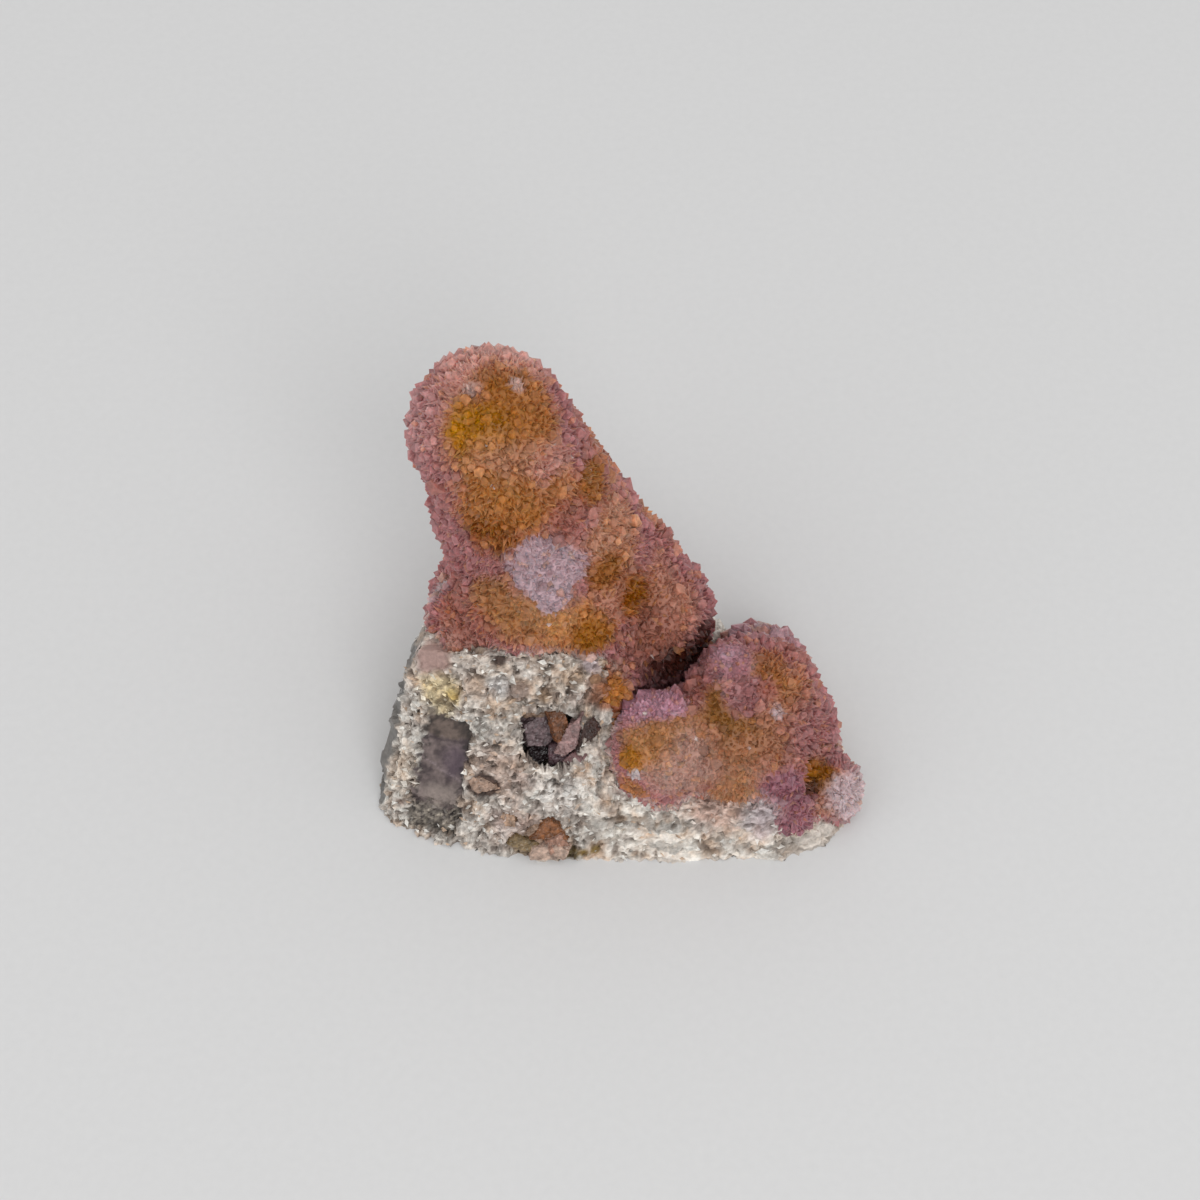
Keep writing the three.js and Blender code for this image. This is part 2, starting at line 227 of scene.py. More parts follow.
# Patches of colour: middle, reach in mm, colour, strength, and how soft the edge is
TALL_PATCHES = [
    (-12.3, 17.5, 57, 6, (0.81, 0.6, 0.56), 1, 1),
    (-20, 12, 52.5, 4.5, LILAC_ROSE, 0.8, 1),
    (-9.3, 9.2, 56.1, 6.4, ORANGE_BROWN, 0.86, 0.8),
    (-11.7, 14, 58.4, 3, OCHRE_BROWN, 0.7, 0.9),
    (-13.9, 7.4, 56.1, 4, OCHRE, 1, 0.8),
    (-10.6, 9, 56.8, 2.8, OCHRE_BROWN, 0.5, 1),
    (-10.8, 4.6, 51.8, 4.4, (0.71, 0.51, 0.4), 0.85, 0.9),
    (-5.1, 7.3, 48.9, 3.8, ROSE_TAN, 0.8, 0.9),
    (-11.6, 3.8, 46, 5.6, ORANGE_BROWN, 0.9, 0.8),
    (-0.6, 10.4, 42.3, 3.2, OCHRE_BROWN, 0.9, 0.8),
    (-4.6, 6.6, 45.4, 3.2, ORANGE_BROWN, 0.7, 0.9),
    (-12.9, 3.4, 40.8, 3.6, DEEP_OCHRE, 0.85, 0.9),
    (-3.7, 5.3, 42, 2.8, RED_BROWN, 0.8, 0.8),
    (-13.2, 3.3, 42.4, 0.5, DARK_BROWN, 1, 0.4),
    (-14.4, 3.4, 41, 0.5, DARK_BROWN, 1, 0.4),
    (2, 8.2, 34.9, 5.2, (0.71, 0.505, 0.395), 0.9, 0.9),
    (-7.5, -1.6, 30.4, 4.8, DIM_TAN, 0.95, 0.9),
    (-12.9, 1.1, 30.3, 3.8, DIM_TAN, 0.9, 0.9),
    (-3.6, -1.4, 27.3, 4.2, TAN, 0.85, 0.8),
    (-0.4, -1, 25.7, 3.2, (0.6, 0.37, 0.06), 0.95, 0.9),
    (0.8, 4.5, 31.8, 2.8, OCHRE_BROWN, 0.85, 1),
    (4.5, 4.2, 26.7, 3.6, DEEP_OCHRE, 1, 0.9),
    (-15.8, 0.9, 24.9, 3.8, RED_BROWN, 0.85, 0.8),
    (-17.4, 5.1, 25.1, 3.2, RED_BROWN, 0.9, 0.8),
    (6.2, 1.6, 21, 4.4, (0.58, 0.37, 0.31), 0.9, 0.9),
    # Painted shade under the shoulder, towards the short spires
    (11.9, 3.4, 16, 3.8, DARK_BROWN, 1, 0.7),
    (8.5, 1.2, 14.9, 3, DARK_BROWN, 0.9, 0.8),
    (1.5, -4.5, 17.1, 3, ORANGE_BROWN, 0.95, 0.8),
    (-20.2, 9.2, 20.6, 2.2, PALE_LILAC, 1, 0.5),
    (-6.9, 2, 36.2, 4.3, LILAC, 1, 0.22),
    (-2.7, 3.2, 35.2, 2.1, LILAC, 1, 0.3),
    (-5.6, -0.6, 33.9, 2.4, LILAC, 1, 0.25),
    (-10.4, 1.8, 35.6, 0.8, WHITE_QUARTZ, 0.8, 0.6),
    (-3, 3.4, 37, 0.7, WHITE_QUARTZ, 0.8, 0.6),
    (-14.6, 12.4, 58.5, 1.2, CLOUDY_SPOT, 0.9, 0.7),
    (-9.4, 13.4, 57.6, 1, CLOUDY_SPOT, 0.85, 0.7),
    (-6, 22, 40, 9, ORANGE_BROWN, 0.7, 1),
    (6, 20, 24, 6, TAN, 0.7, 1),
    (-16, 22, 30, 7, ROSE_TAN, 0.8, 1),
    (-9, 24, 24, 4.5, OCHRE_BROWN, 0.7, 1),
]
SHORT_PATCHES = [
    (9.8, -9.8, 17.4, 4.6, DIM_TAN, 0.75, 1),
    (10.6, -12.6, 13.6, 4.8, CLOUDY_ROSE, 0.95, 0.9),
    (5.6, -10, 17, 3.2, DIM_TAN, 0.95, 0.9),
    (3.4, -11.8, 14.6, 1.8, (0.64, 0.41, 0.1), 1, 0.7),
    (4, -13.2, 9.6, 2, ORANGE_BROWN, 0.8, 0.7),
    (6.4, -4.6, 16.4, 3.8, VIOLET, 1, 0.6),
    (2.9, -4.4, 14.6, 2.4, VIOLET, 0.9, 0.7),
    (10.2, -3.8, 16.4, 2.4, VIOLET, 0.7, 0.8),
    (12.4, -3, 15.6, 2.6, RED_BROWN, 0.85, 0.8),
    (15, -6.5, 18.3, 2.8, OLIVE_BROWN, 0.95, 0.7),
    (17.4, -10.2, 16.8, 3.4, OLIVE_BROWN, 0.85, 0.9),
    (17.2, -12.2, 14.6, 3.2, RED_TAN, 0.75, 0.9),
    (16.6, -13.4, 8.8, 3.6, DIM_TAN, 0.85, 0.9),
    (21.5, -10, 15.3, 3.2, RED_TAN, 0.8, 0.9),
    (20.9, -1.6, 19.6, 2.8, OCHRE_BROWN, 0.7, 0.9),
    (24.4, -3.8, 17.7, 3.2, ORANGE_BROWN, 0.6, 1),
    (26.3, -6.4, 13.7, 4.4, ROSE, 0.8, 1),
    (16.2, -2.2, 21.6, 3, DIM_VIOLET, 1, 0.5),
    (17.7, -5.2, 19.4, 2.8, ROSE, 1, 0.5),
    (21.1, 7, 12, 5, GREY_LILAC, 0.9, 0.8),
    (20.5, -4.4, 18.8, 1.4, RED_BROWN, 0.9, 0.8),
    (15.2, -0.6, 22.4, 2.2, (0.67, 0.49, 0.53), 0.85, 0.8),
    (22.9, -13.6, 9.2, 3.2, DEEP_VIOLET, 0.95, 0.7),
    (24.4, -15.6, 4.8, 3, DEEP_VIOLET, 0.9, 0.7),
    (27.6, -10.4, 8.8, 2.5, OCHRE_BROWN, 1, 0.7),
    (26.4, -11.6, 7.6, 1.3, DARK_BROWN, 0.8, 0.8),
    (31.8, -12.2, 5.2, 3.6, PALE_LILAC, 1, 0.6),
    (20.6, -14.6, 6.6, 2.4, PALE_LILAC, 0.8, 0.8),
    (4.3, -13.2, 12.9, 0.9, WHITE_QUARTZ, 0.8, 0.7),
    (21.8, -6.8, 18, 0.9, PALE_LILAC, 0.9, 0.5),
    (24, 3, 15, 3, RED_BROWN, 0.7, 1),
    # Painted shade in the cleft between the two spire groups
    (12, 0.5, 8, 4, DARK_BROWN, 0.9, 0.9),
]
ROCK_PATCHES = [
    (-19.9, -4.5, 17.9, 2.6, (0.94, 0.86, 0.68), 0.85, 1),
    (-18.3, -4.9, 18, 1, (0.86, 0.75, 0.46), 0.8, 1),
    (-20.6, -1.1, 21.9, 2.6, (0.64, 0.52, 0.49), 0.95, 0.6),
    (-12.5, -11.5, 10.5, 3.6, (0.82, 0.71, 0.65), 0.6, 1),
    (-11, -15, 4, 3, (0.84, 0.75, 0.72), 0.5, 1),
    (-6.9, -17.2, 3, 2.2, (0.66, 0.5, 0.38), 0.8, 0.8),
    (-9.9, -17.6, 1.8, 1.6, (0.58, 0.48, 0.34), 0.8, 0.8),
    (-3.6, -18, 1.2, 0.9, (0.4, 0.32, 0.08), 0.95, 0.5),
    (-2, -18.2, 1.5, 0.8, (0.52, 0.4, 0.08), 0.95, 0.5),
    (-0.6, -18, 1.6, 0.7, (0.5, 0.4, 0.1), 0.9, 0.5),
    # Painted shade for a small pocket round the blade bedded there
    (-14.5, -12, 8.2, 2, (0.26, 0.18, 0.15), 0.95, 0.3),
    # Painted shade inside the largest hollow
    (-6.2, -6.6, 14, 3.6, (0.22, 0.16, 0.18), 0.95, 0.5),
    (0.8, -4, 18, 2.6, (0.66, 0.4, 0.24), 0.85, 0.7),
    (-12.2, -2.8, 23.1, 0.9, (0.2, 0.12, 0.1), 0.9, 0.6),
    (-3, -4, 21, 1.6, (0.74, 0.62, 0.5), 0.6, 0.8),
    (-12.4, -4.6, 19.7, 1.5, (0.95, 0.94, 0.93), 0.9, 0.8),
    (-10, -5, 19.6, 1.3, (0.62, 0.54, 0.5), 0.85, 0.8),
    (-15.4, -4.2, 19.6, 1.6, (0.78, 0.68, 0.6), 0.7, 0.9),
    (-5.4, -4.2, 22.3, 1, (0.56, 0.46, 0.38), 0.85, 0.8),
    (-6.8, -5.8, 19.3, 0.9, (0.7, 0.57, 0.42), 0.8, 0.8),
    (-0.6, -2.9, 22, 1.4, (0.84, 0.76, 0.78), 0.8, 0.8),
    (-2.6, -5.6, 18.4, 1.3, (0.66, 0.58, 0.54), 0.6, 0.9),
    (-9, -16, 4.8, 1.5, (0.78, 0.66, 0.6), 0.6, 0.9),
    (-13, -15, 4.6, 1.3, (0.62, 0.53, 0.5), 0.6, 0.9),
    (-9.6, -12, 9.4, 1.6, (0.66, 0.6, 0.58), 0.5, 0.9),
    (14.4, -13.8, 6.8, 3.6, (0.84, 0.7, 0.64), 0.8, 1),
    (20.6, -15.2, 5.6, 2.6, (0.86, 0.8, 0.82), 0.8, 1),
    (27.5, -15.8, 2.5, 5, (0.83, 0.79, 0.75), 0.85, 0.8),
    (25.4, -15, 4.2, 1.8, (0.76, 0.66, 0.54), 0.7, 0.9),
    (-25.2, -11.5, 3.4, 0.7, (0.46, 0.34, 0.28), 0.8, 0.7),
    (-5, -13.7, 7.8, 2.6, (0.97, 0.95, 0.93), 0.55, 1),
    (-5, -5.5, 20.9, 2.4, (0.76, 0.67, 0.59), 0.45, 1),
    (-25, -9.7, 7.8, 3, (0.88, 0.82, 0.75), 0.5, 1),
]

# Blades in the broken front: x, z and how deep, facing, thickness, turn in degrees, colour, outline
BLADES = [
    ((-7.5, 14.9, 1.5), (0.3, -0.8, 0.5), 2.2, 0, (0.44, 0.37, 0.38),
     [(-2.2, -1.6), (0.2, -2.4), (1.9, -1.4), (2, 1.2), (0.4, 2.4), (-2, 1.5)]),
    ((-9.6, 15.8, 1), (0.6, -0.7, 0.4), 1.8, 12, (0.3, 0.23, 0.24),
     [(-1.1, -1.8), (0.9, -1.5), (0.9, 1.5), (-0.8, 1.6)]),
    ((-7.4, 17.3, 1.2), (0.1, -0.8, 0.2), 1.8, -4, (0.48, 0.38, 0.31),
     [(-2.4, -0.9), (2.2, -1), (1.9, 1), (-1.7, 1)]),
    ((-5, 16.4, 0.8), (0.35, -0.75, 0.5), 1.8, 6, (0.45, 0.28, 0.17),
     [(-1.2, -2.4), (1, -2), (1.2, 2), (-0.9, 2.4)]),
    ((-3.9, 15, 0.7), (-0.25, -0.8, 0.5), 1.8, -12, (0.6, 0.48, 0.47),
     [(-1.2, -3), (0.3, -2.9), (1.2, -1), (0.9, 1.4), (0.1, 3.4), (-0.9, 1.4)]),
    ((-2.6, 14.9, 1), (-0.6, -0.7, 0.4), 1.8, -12, (0.26, 0.18, 0.16),
     [(-0.9, -2.6), (0.8, -2.2), (0.8, 2.4), (-0.8, 2.9)]),
    ((-7.6, 12, 2.3), (0.2, -0.6, 0.8), 1.6, 8, (0.14, 0.09, 0.1),
     [(-1.7, -1.3), (1.5, -1.2), (1.2, 1.3), (-1.5, 1.2)]),
    ((-5.3, 12.3, 1.7), (-0.1, -0.7, 0.7), 1.6, 14, (0.34, 0.25, 0.27),
     [(-1.7, -1.3), (1.7, -0.9), (1.2, 1.9), (-1.3, 1.5)]),
    ((-3.7, 12.1, 0.9), (-0.4, -0.7, 0.5), 1.5, -20, (0.5, 0.38, 0.38),
     [(-1.1, -1), (1.1, -0.7), (0.8, 1.6), (-0.8, 1.2)]),
    ((-14.4, 8.1, -0.6), (-0.05, -0.8, 0.5), 1.8, 0, (0.64, 0.53, 0.46),
     [(-2.1, 0.6), (-1.5, -0.8), (-0.7, -1.3), (0.8, -0.7), (2.3, -0.3),
      (0.9, 0.7), (-0.3, 1.3), (-1.4, 1.1)]),
    ((-6.2, 1.5, -1.1), (0, -0.9, 0.4), 1.6, 4, (0.68, 0.58, 0.52),
     [(-2.6, -1.1), (2, -1.3), (2.7, 0.3), (0.5, 1.4), (-2.1, 0.9)]),
    ((-9.4, 2, -0.95), (-0.15, -0.85, 0.5), 1.5, -6, (0.48, 0.4, 0.28),
     [(-2.3, -0.8), (1.5, -1.1), (2, 0.8), (-1.4, 0.9)]),
    ((-6.4, 3.9, -0.8), (0.05, -0.75, 0.65), 1.5, 0, (0.5, 0.31, 0.17),
     [(-2.5, -0.9), (2.6, -1.2), (1.6, 0.9), (0.1, 2)]),
    ((-5.2, 2.8, -0.9), (0.35, -0.8, 0.45), 1.4, 10, (0.62, 0.47, 0.4),
     [(-1.5, -1.2), (1.4, -1.3), (1.1, 1.1), (-1.1, 0.9)]),
    ((-8, 3.4, -0.75), (-0.3, -0.8, 0.5), 1.4, -14, (0.62, 0.51, 0.43),
     [(-1.4, -1.1), (1.3, -1.1), (1.2, 0.8), (-0.8, 1.1)]),
    ((-11.6, 4.4, -0.6), (-0.1, -0.8, 0.6), 1.4, 8, (0.66, 0.54, 0.45),
     [(-1.2, -1), (1.1, -1.1), (1.2, 0.8), (-0.7, 1.1)]),
]
# Stained quartz points: middle, facing, width, length and colour
STAINED_POINTS = [
    ((1.6, -4.6, 15.4), (0.3, -0.8, 0.6), 1, 1.2, (0.56, 0.3, 0.17)),
    ((0.4, -3.8, 17.8), (0.2, -0.8, 0.6), 0.9, 1.1, (0.62, 0.4, 0.26)),
    ((0.9, -4.2, 16.6), (-0.2, -0.8, 0.6), 0.8, 1.1, (0.46, 0.24, 0.14)),
    ((2.4, -5.8, 13.6), (0.4, -0.8, 0.4), 0.9, 1.1, (0.68, 0.44, 0.26)),
    ((1.7, -5.2, 14.4), (0, -0.8, 0.5), 0.7, 1, (0.62, 0.38, 0.22)),
    ((-0.6, -3, 19.4), (0, -0.8, 0.6), 0.8, 1, (0.74, 0.58, 0.46)),
]


def srgb(colour):
    """The linear colour that looks like this one on a screen."""
    c = np.asarray(colour, float)
    return np.where(c <= 0.04045, c / 12.92, ((c + 0.055) / 1.055) ** 2.4)


def smooth(x):
    """Nought to one along an even curve, as x goes from nought to one."""
    x = np.clip(x, 0, 1)
    return x * x * (3 - 2 * x)


def unit(vectors):
    return vectors / np.maximum(np.linalg.norm(vectors, axis=-1, keepdims=True), 1e-9)


def blend(colours, other, share):
    """The colours, taken towards another one by a share for each point."""
    return colours + (other - colours) * np.reshape(share, (-1, 1))


def distance_to(points, place):
    return np.linalg.norm(points - np.array(place), axis=1)


# Forms as distances


def lump_distances(points, lumps):
    """Distance of each point to each lump's mean surface, negative inside."""
    columns = []
    for root, root_radius, end, end_radius, _ in lumps.values():
        root, end = np.array(root, float), np.array(end, float)
        axis = end - root
        along = np.clip((points - root) @ axis / (axis @ axis), 0, 1)
        off_axis = np.linalg.norm(points - root - along[:, None] * axis, axis=1)
        columns.append(off_axis - root_radius - (end_radius - root_radius) * along)
    return np.stack(columns, axis=1)


def druse_distance(points, lumps):
    """Distance to the melded lumps' mean surface, negative inside."""
    return -MELD * np.log(np.exp(-lump_distances(points, lumps) / MELD).sum(axis=1))


def slope_of(distance, points, step):
    """The direction in which a distance grows fastest."""
    shifts = np.eye(3) * step
    gradient = [distance(points + shift) - distance(points - shift) for shift in shifts]
    return unit(np.stack(gradient, axis=1))


def druse_normals(points, lumps):
    return slope_of(lambda p: druse_distance(p, lumps), points, 0.05)


def hull_planes(corners):
    """Outward normals and offsets of the convex block round these corners."""
    bm = bmesh.new()
    for corner in corners:
        bm.verts.new(corner)
    bmesh.ops.convex_hull(bm, input=bm.verts)
    bmesh.ops.recalc_face_normals(bm, faces=bm.faces)
    planes = np.array([(*f.normal, -f.normal.dot(f.verts[0].co)) for f in bm.faces])
    bm.free()
    return planes


MATRIX_PLANES = [hull_planes(FOOT), hull_planes(BLOCK)]
SIDE_PLANES = [planes[planes[:, 2] > -0.9] for planes in MATRIX_PLANES]


def block_distance(points, blocks):
    """Distance to the nearest of some convex blocks, negative inside."""
    each = [(points @ planes[:, :3].T + planes[:, 3]).max(axis=1) for planes in blocks]
    return np.minimum(*each)


def matrix_distance(points):
    """Distance to the matrix's unbroken blocks, negative inside."""
    return block_distance(points, MATRIX_PLANES)


def matrix_normals(points):
    return slope_of(matrix_distance, points, 0.02)


def side_distance(points):
    """As matrix_distance, but the blocks go on below the ground."""
    return block_distance(points, SIDE_PLANES)


# Meshes


def new_object(name, data):
    made = bpy.data.objects.new(name, data)
    bpy.context.scene.collection.objects.link(made)
    return made


def add_object(name, vertices_mm, faces):
    mesh = bpy.data.meshes.new(name)
    mesh.from_pydata((np.asarray(vertices_mm) * MM).tolist(), [], faces)
    mesh.update()
    return new_object(name, mesh)


def object_from(bm, name):
    """An object from a bmesh in millimetres, which is freed."""
    bmesh.ops.scale(bm, vec=(MM, MM, MM), verts=bm.verts)
    mesh = bpy.data.meshes.new(name)
    bm.to_mesh(mesh)
    bm.free()
    return new_object(name, mesh)


def on_ground(points):
    """The points, with any that are below the ground raised to just above it."""
    raised = points.copy()
    raised[:, 2] = np.maximum(raised[:, 2], LOWEST)
    return raised


def joined(name, corners, faces_of_one):
    """Many alike meshes as one object, by the corners of each. Also returns each vertex's mesh."""
    count, size = corners.shape[:2]
    starts = range(0, count * size, size)
    faces = [[start + corner for corner in face] for start in starts for face in faces_of_one]
    piece = add_object(name, on_ground(corners.reshape(-1, 3)), faces)
    return piece, np.repeat(np.arange(count), size)


def paint(piece, attribute, colours):
    """Stores one linear colour for each vertex."""
    layer = piece.data.color_attributes.new(attribute, "FLOAT_COLOR", "POINT")
    rgba = np.ones((len(colours), 4))
    rgba[:, :3] = np.clip(colours, 0, 1)
    layer.data.foreach_set("color", rgba.ravel())


def vertices_of(piece):
    co = np.empty(len(piece.data.vertices) * 3)
    piece.data.vertices.foreach_get("co", co)
    return co.reshape(-1, 3) / MM


def normals_of(piece):
    directions = np.empty(len(piece.data.vertices) * 3)
    piece.data.vertices.foreach_get("normal", directions)
    return directions.reshape(-1, 3)


def place_vertices(piece, points_mm):
    piece.data.vertices.foreach_set("co", (points_mm * MM).ravel())
    piece.data.update()


def apply_modifiers(piece):
    evaluated = piece.evaluated_get(bpy.context.evaluated_depsgraph_get())
    mesh = bpy.data.meshes.new_from_object(evaluated)
    piece.modifiers.clear()
    piece.data = mesh


def voxel_remesh(piece, size_mm):
    remesh = piece.modifiers.new("remesh", "REMESH")
    remesh.mode = "VOXEL"
    remesh.voxel_size = size_mm * MM
    apply_modifiers(piece)


def finish_piece(piece, node, material):
    piece.data.materials.clear()
    piece.data.materials.append(material)
    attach(piece, "root")
    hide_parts(node)


# Grain and colour


def noise_at(points, scale, octaves=3):
    """Fractal noise of about -1 to 1 at each point; scale is the size of its largest lumps."""
    falloff, lacunarity = 0.6, 2.1
    return np.array([
        noise.fractal(Vector(p) / scale, falloff, lacunarity, octaves, noise_basis="PERLIN_ORIGINAL")
        for p in points
    ])


def broken_cells(points, scale, shift):
    """Angular grains: how high each stands with its own slope, and how near the point is to a seam."""
    lift, seam = np.empty(len(points)), np.empty(len(points))
    middle_of_cell = Vector((0.5, 0.5, 0.5))
    lift_seed, slope_seed = 37.0, 53.0
    for i, p in enumerate(points):
        q = Vector(p) / scale + Vector((shift, shift, shift))
        nearest, middles = noise.voronoi(q)
        own = noise.cell_vector(middles[0] * lift_seed)
        slope = (noise.cell_vector(middles[0] * slope_seed) - middle_of_cell) * 1.6
        lift[i] = own.x + slope.dot(q - middles[0])
        seam[i] = 1 - min(1.0, (nearest[1] - nearest[0]) * 3.0)
    return lift, seam


def patch_colours(points, patches, ground, wander):
    """Colour at each point: the ground, with every patch blended over it in turn."""
    colours = ground * np.ones((len(points), 1))
    for *middle, reach, colour, strength, softness in patches:
        off = distance_to(points, middle) / reach
        share = strength * smooth(0.5 + (1 - off + 0.3 * wander) / softness)
        colours = blend(colours, srgb(colour), share)
    return colours


# Druse


def taper_mesh(bm, lump, rings=10, sides=28):
    """Adds a closed round-ended taper to a bmesh."""
    root, root_radius, end, end_radius, _ = lump
    root, end = Vector(root), Vector(end)
    axis = end - root
    turn = axis.to_track_quat("Z", "Y").to_matrix()
    quarter = np.linspace(0, math.pi / 2, rings)
    outline = [(-math.cos(a) * root_radius, math.sin(a) * root_radius) for a in quarter]
    outline += [(axis.length + math.sin(a) * end_radius, math.cos(a) * end_radius) for a in quarter]
    previous = None
    for up, out in outline:
        if out < 1e-6:
            ring = [bm.verts.new(root + turn @ Vector((0, 0, up)))]
        else:
            ring = [
                bm.verts.new(root + turn @ Vector((out * math.cos(t), out * math.sin(t), up)))
                for t in (2 * math.pi * k / sides for k in range(sides))
            ]
        if previous:
            for k in range(sides):
                quad = [
                    previous[k % len(previous)], previous[(k + 1) % len(previous)],
                    ring[(k + 1) % len(ring)], ring[k % len(ring)],
                ]
                bm.faces.new(list(dict.fromkeys(quad)))
        previous = ring


def make_core(name, lumps):
    """The crust that the crystals grow from: all lumps melded into one skin."""
    bm = bmesh.new()
    for lump in lumps.values():
        taper_mesh(bm, lump)
    core = object_from(bm, name)
    voxel_remesh(core, CORE_VOXEL)
    points = vertices_of(core)
    for _ in range(3):
        off = druse_distance(points, lumps) + CORE_DEPTH
        points = points - druse_normals(points, lumps) * off[:, None]
    points[:, 2] = np.maximum(points[:, 2], CRUST_FLOOR)
    place_vertices(core, points)
    return core


def scatter(skin, pitch, rng, keep):
    """Random places on a skin that stay about a pitch apart, where keep allows."""
    skin.data.calc_loop_triangles()
    corners = vertices_of(skin)
    triangles = np.array([t.vertices[:] for t in skin.data.loop_triangles])
    a, b, c = (corners[triangles[:, k]] for k in range(3))
    area = np.linalg.norm(np.cross(b - a, c - a), axis=1) / 2
    tries = int(area.sum() / pitch**2 * SCATTER_TRIES)
    chosen = rng.choice(len(triangles), tries, p=area / area.sum())
    u, v = rng.random(tries), rng.random(tries)
    flip = u + v > 1
    u[flip], v[flip] = 1 - u[flip], 1 - v[flip]
    points = a[chosen] + u[:, None] * (b - a)[chosen] + v[:, None] * (c - a)[chosen]
    points = points[keep(points)]
    cells = {}
    places = []
    for p in points.tolist():
        key = tuple(int(x // pitch) for x in p)
        crowded = any(
            (q[0] - p[0]) ** 2 + (q[1] - p[1]) ** 2 + (q[2] - p[2]) ** 2 < pitch * pitch
            for dx in (-1, 0, 1) for dy in (-1, 0, 1) for dz in (-1, 0, 1)
            for q in cells.get((key[0] + dx, key[1] + dy, key[2] + dz), ())
        )
        if not crowded:
            cells.setdefault(key, []).append(p)
            places.append(p)
    return np.array(places)


def side_directions(facings):
    """Two directions square to each facing and to one another."""
    helper = np.where(np.abs(facings[:, 2:3]) < 0.9, UP, RIGHT)
    side = unit(np.cross(helper, facings))
    return side, np.cross(facings, side)


def ring_round(side, other, angles, radii):
    """Corners round each crystal's axis, by their angles and radii."""
    ring = np.cos(angles)[:, :, None] * side[:, None] + np.sin(angles)[:, :, None] * other[:, None]
    return ring * radii[:, :, None]


def stray_of(side, other, spread, rng):
    """How far each tip strays sideways, in its crystal's radii."""
    count = len(side)
    return side * rng.normal(0, spread, (count, 1)) + other * rng.normal(0, spread, (count, 1))


def crystal_mesh(name, places, facings, widths, heights, sink, rng):
    """Joined six-sided quartz points. Returns the object and, per vertex, its crystal and its rise."""
    count = len(places)
    side, other = side_directions(facings)
    turn = rng.random(count) * math.pi / 3
    unequal = 1 + rng.normal(0, 0.2, (count, 6))
    angles = turn[:, None] + np.arange(6) * math.pi / 3
    ring = ring_round(side, other, angles, widths[:, None] * unequal)
    point_height = widths * rng.uniform(0.85, 1.25, count) * BLUNTNESS
    shoulder = np.maximum(heights - point_height, 0.02)
    lower = places[:, None] + ring * 0.9 - facings[:, None] * sink
    slant = rng.normal(0, 0.16, (count, 6)) * widths[:, None]
    upper = places[:, None] + ring + facings[:, None] * (shoulder[:, None] + slant)[:, :, None]
    stray = stray_of(side, other, 0.28, rng) * widths[:, None]
    apex = places + facings * (shoulder + point_height)[:, None] + stray
    faces = [[5, 4, 3, 2, 1, 0]]
    for k in range(6):
        m = (k + 1) % 6
        faces += [[k, m, 6 + m, 6 + k], [6 + k, 6 + m, 12]]
    crystals, owner = joined(name, np.concatenate([lower, upper, apex[:, None]], axis=1), faces)
    return crystals, owner, np.tile([0.0] * 6 + [0.55] * 6 + [1.0], count)


def pyramid_mesh(name, places, facings, widths, heights, sink, rng):
    """Joined four-sided tips, for the smallest crystals. Returns as crystal_mesh does."""
    count = len(places)
    side, other = side_directions(facings)
    angles = rng.random(count)[:, None] * math.pi + np.arange(4) * math.pi / 2
    ring = ring_round(side, other, angles, widths[:, None] * rng.uniform(0.75, 1.25, (count, 4)))
    base = places[:, None] + ring - facings[:, None] * sink
    stray = stray_of(side, other, 0.25, rng) * widths[:, None]
    apex = places + facings * heights[:, None] + stray
    faces = [[3, 2, 1, 0]] + [[k, (k + 1) % 4, 4] for k in range(4)]
    tips, owner = joined(name, np.concatenate([base, apex[:, None]], axis=1), faces)
    return tips, owner, np.tile([0.0] * 4 + [1.0], count)


def druse_ground(places, normals):
    """Mauve, tan where iron stained the side that looks up and forward, pale next to the matrix."""
    facing = normals @ STAINED_SIDE + 0.12 * noise_at(places + 70, 4.0, 2)
    ground = blend(srgb(MAUVE), srgb(STAINED_TAN), 0.85 * smooth((facing - 0.45) / 0.45))
    near_matrix = smooth((1.6 - matrix_distance(places)) / 1.4)
    pale = near_matrix * smooth(0.5 + 1.6 * noise_at(places + 55, 2.2, 2))
    return blend(ground, srgb(SUGARY), 0.7 * pale)


def standing_of(places, lumps):
    """How tall the crystals stand at each place, by its lump and the smoother spots."""
    nearest = lump_distances(places, lumps).argmin(axis=1)
    standing = np.array([lump[4] for lump in lumps.values()])[nearest]
    for *middle, reach, share in SMOOTHER_SPOTS:
        off = distance_to(places, middle) / reach
        standing = standing * (1 + (share - 1) * smooth((1.25 - off) / 0.5))
    return standing


def druse_places(core, lumps, hidden, radius, rng):
    """Crystals' places and normals, how tall they stand, and how far they turn from the stained side."""
    places = scatter(core, radius * PITCH, rng, lambda p: ~hidden(p))
    normals = druse_normals(places, lumps)
    flank = smooth((0.5 - normals @ STAINED_SIDE) / 0.4)
    return places, normals, standing_of(places, lumps), flank


def tilted(normals, spread, standing, rng):
    """The crystals' facings: tilted from the skin's normals, less so where they stand low."""
    return unit(normals + rng.normal(0, spread, normals.shape) * np.minimum(standing, 1)[:, None])


def crystal_colours(places, normals, patches, owner, rise, rng):
    """Colour of every vertex of a group of crystals, a little darker towards the tips, with a few crystals
    painted near white as glints.
    """
    count = len(places)
    root = patch_colours(places, patches, druse_ground(places, normals), noise_at(places, 3.2))
    fleck = rng.random(count)[:, None]
    root = np.where(fleck < 0.1, root * 0.7 + srgb(TAN) * 0.35, root)
    root = np.where(fleck > 0.9, root * 0.78, root)
    root = root * (1 + 0.16 * noise_at(places + 40, 1.8, 2))[:, None]
    paleness = rng.normal(1, 0.07, (count, 1))
    deep = root * 1.12 * paleness
    tips = root * 1.02 * paleness
    # A few crystals are painted near white, as painted glints.
    glinting = rng.random(count) < PAINTED_GLINT_SHARE
    tips[glinting] = srgb(PAINTED_GLINT)
    deep[glinting] = srgb(PAINTED_GLINT_FOOT)
    return blend(deep[owner], tips[owner], smooth(rise))


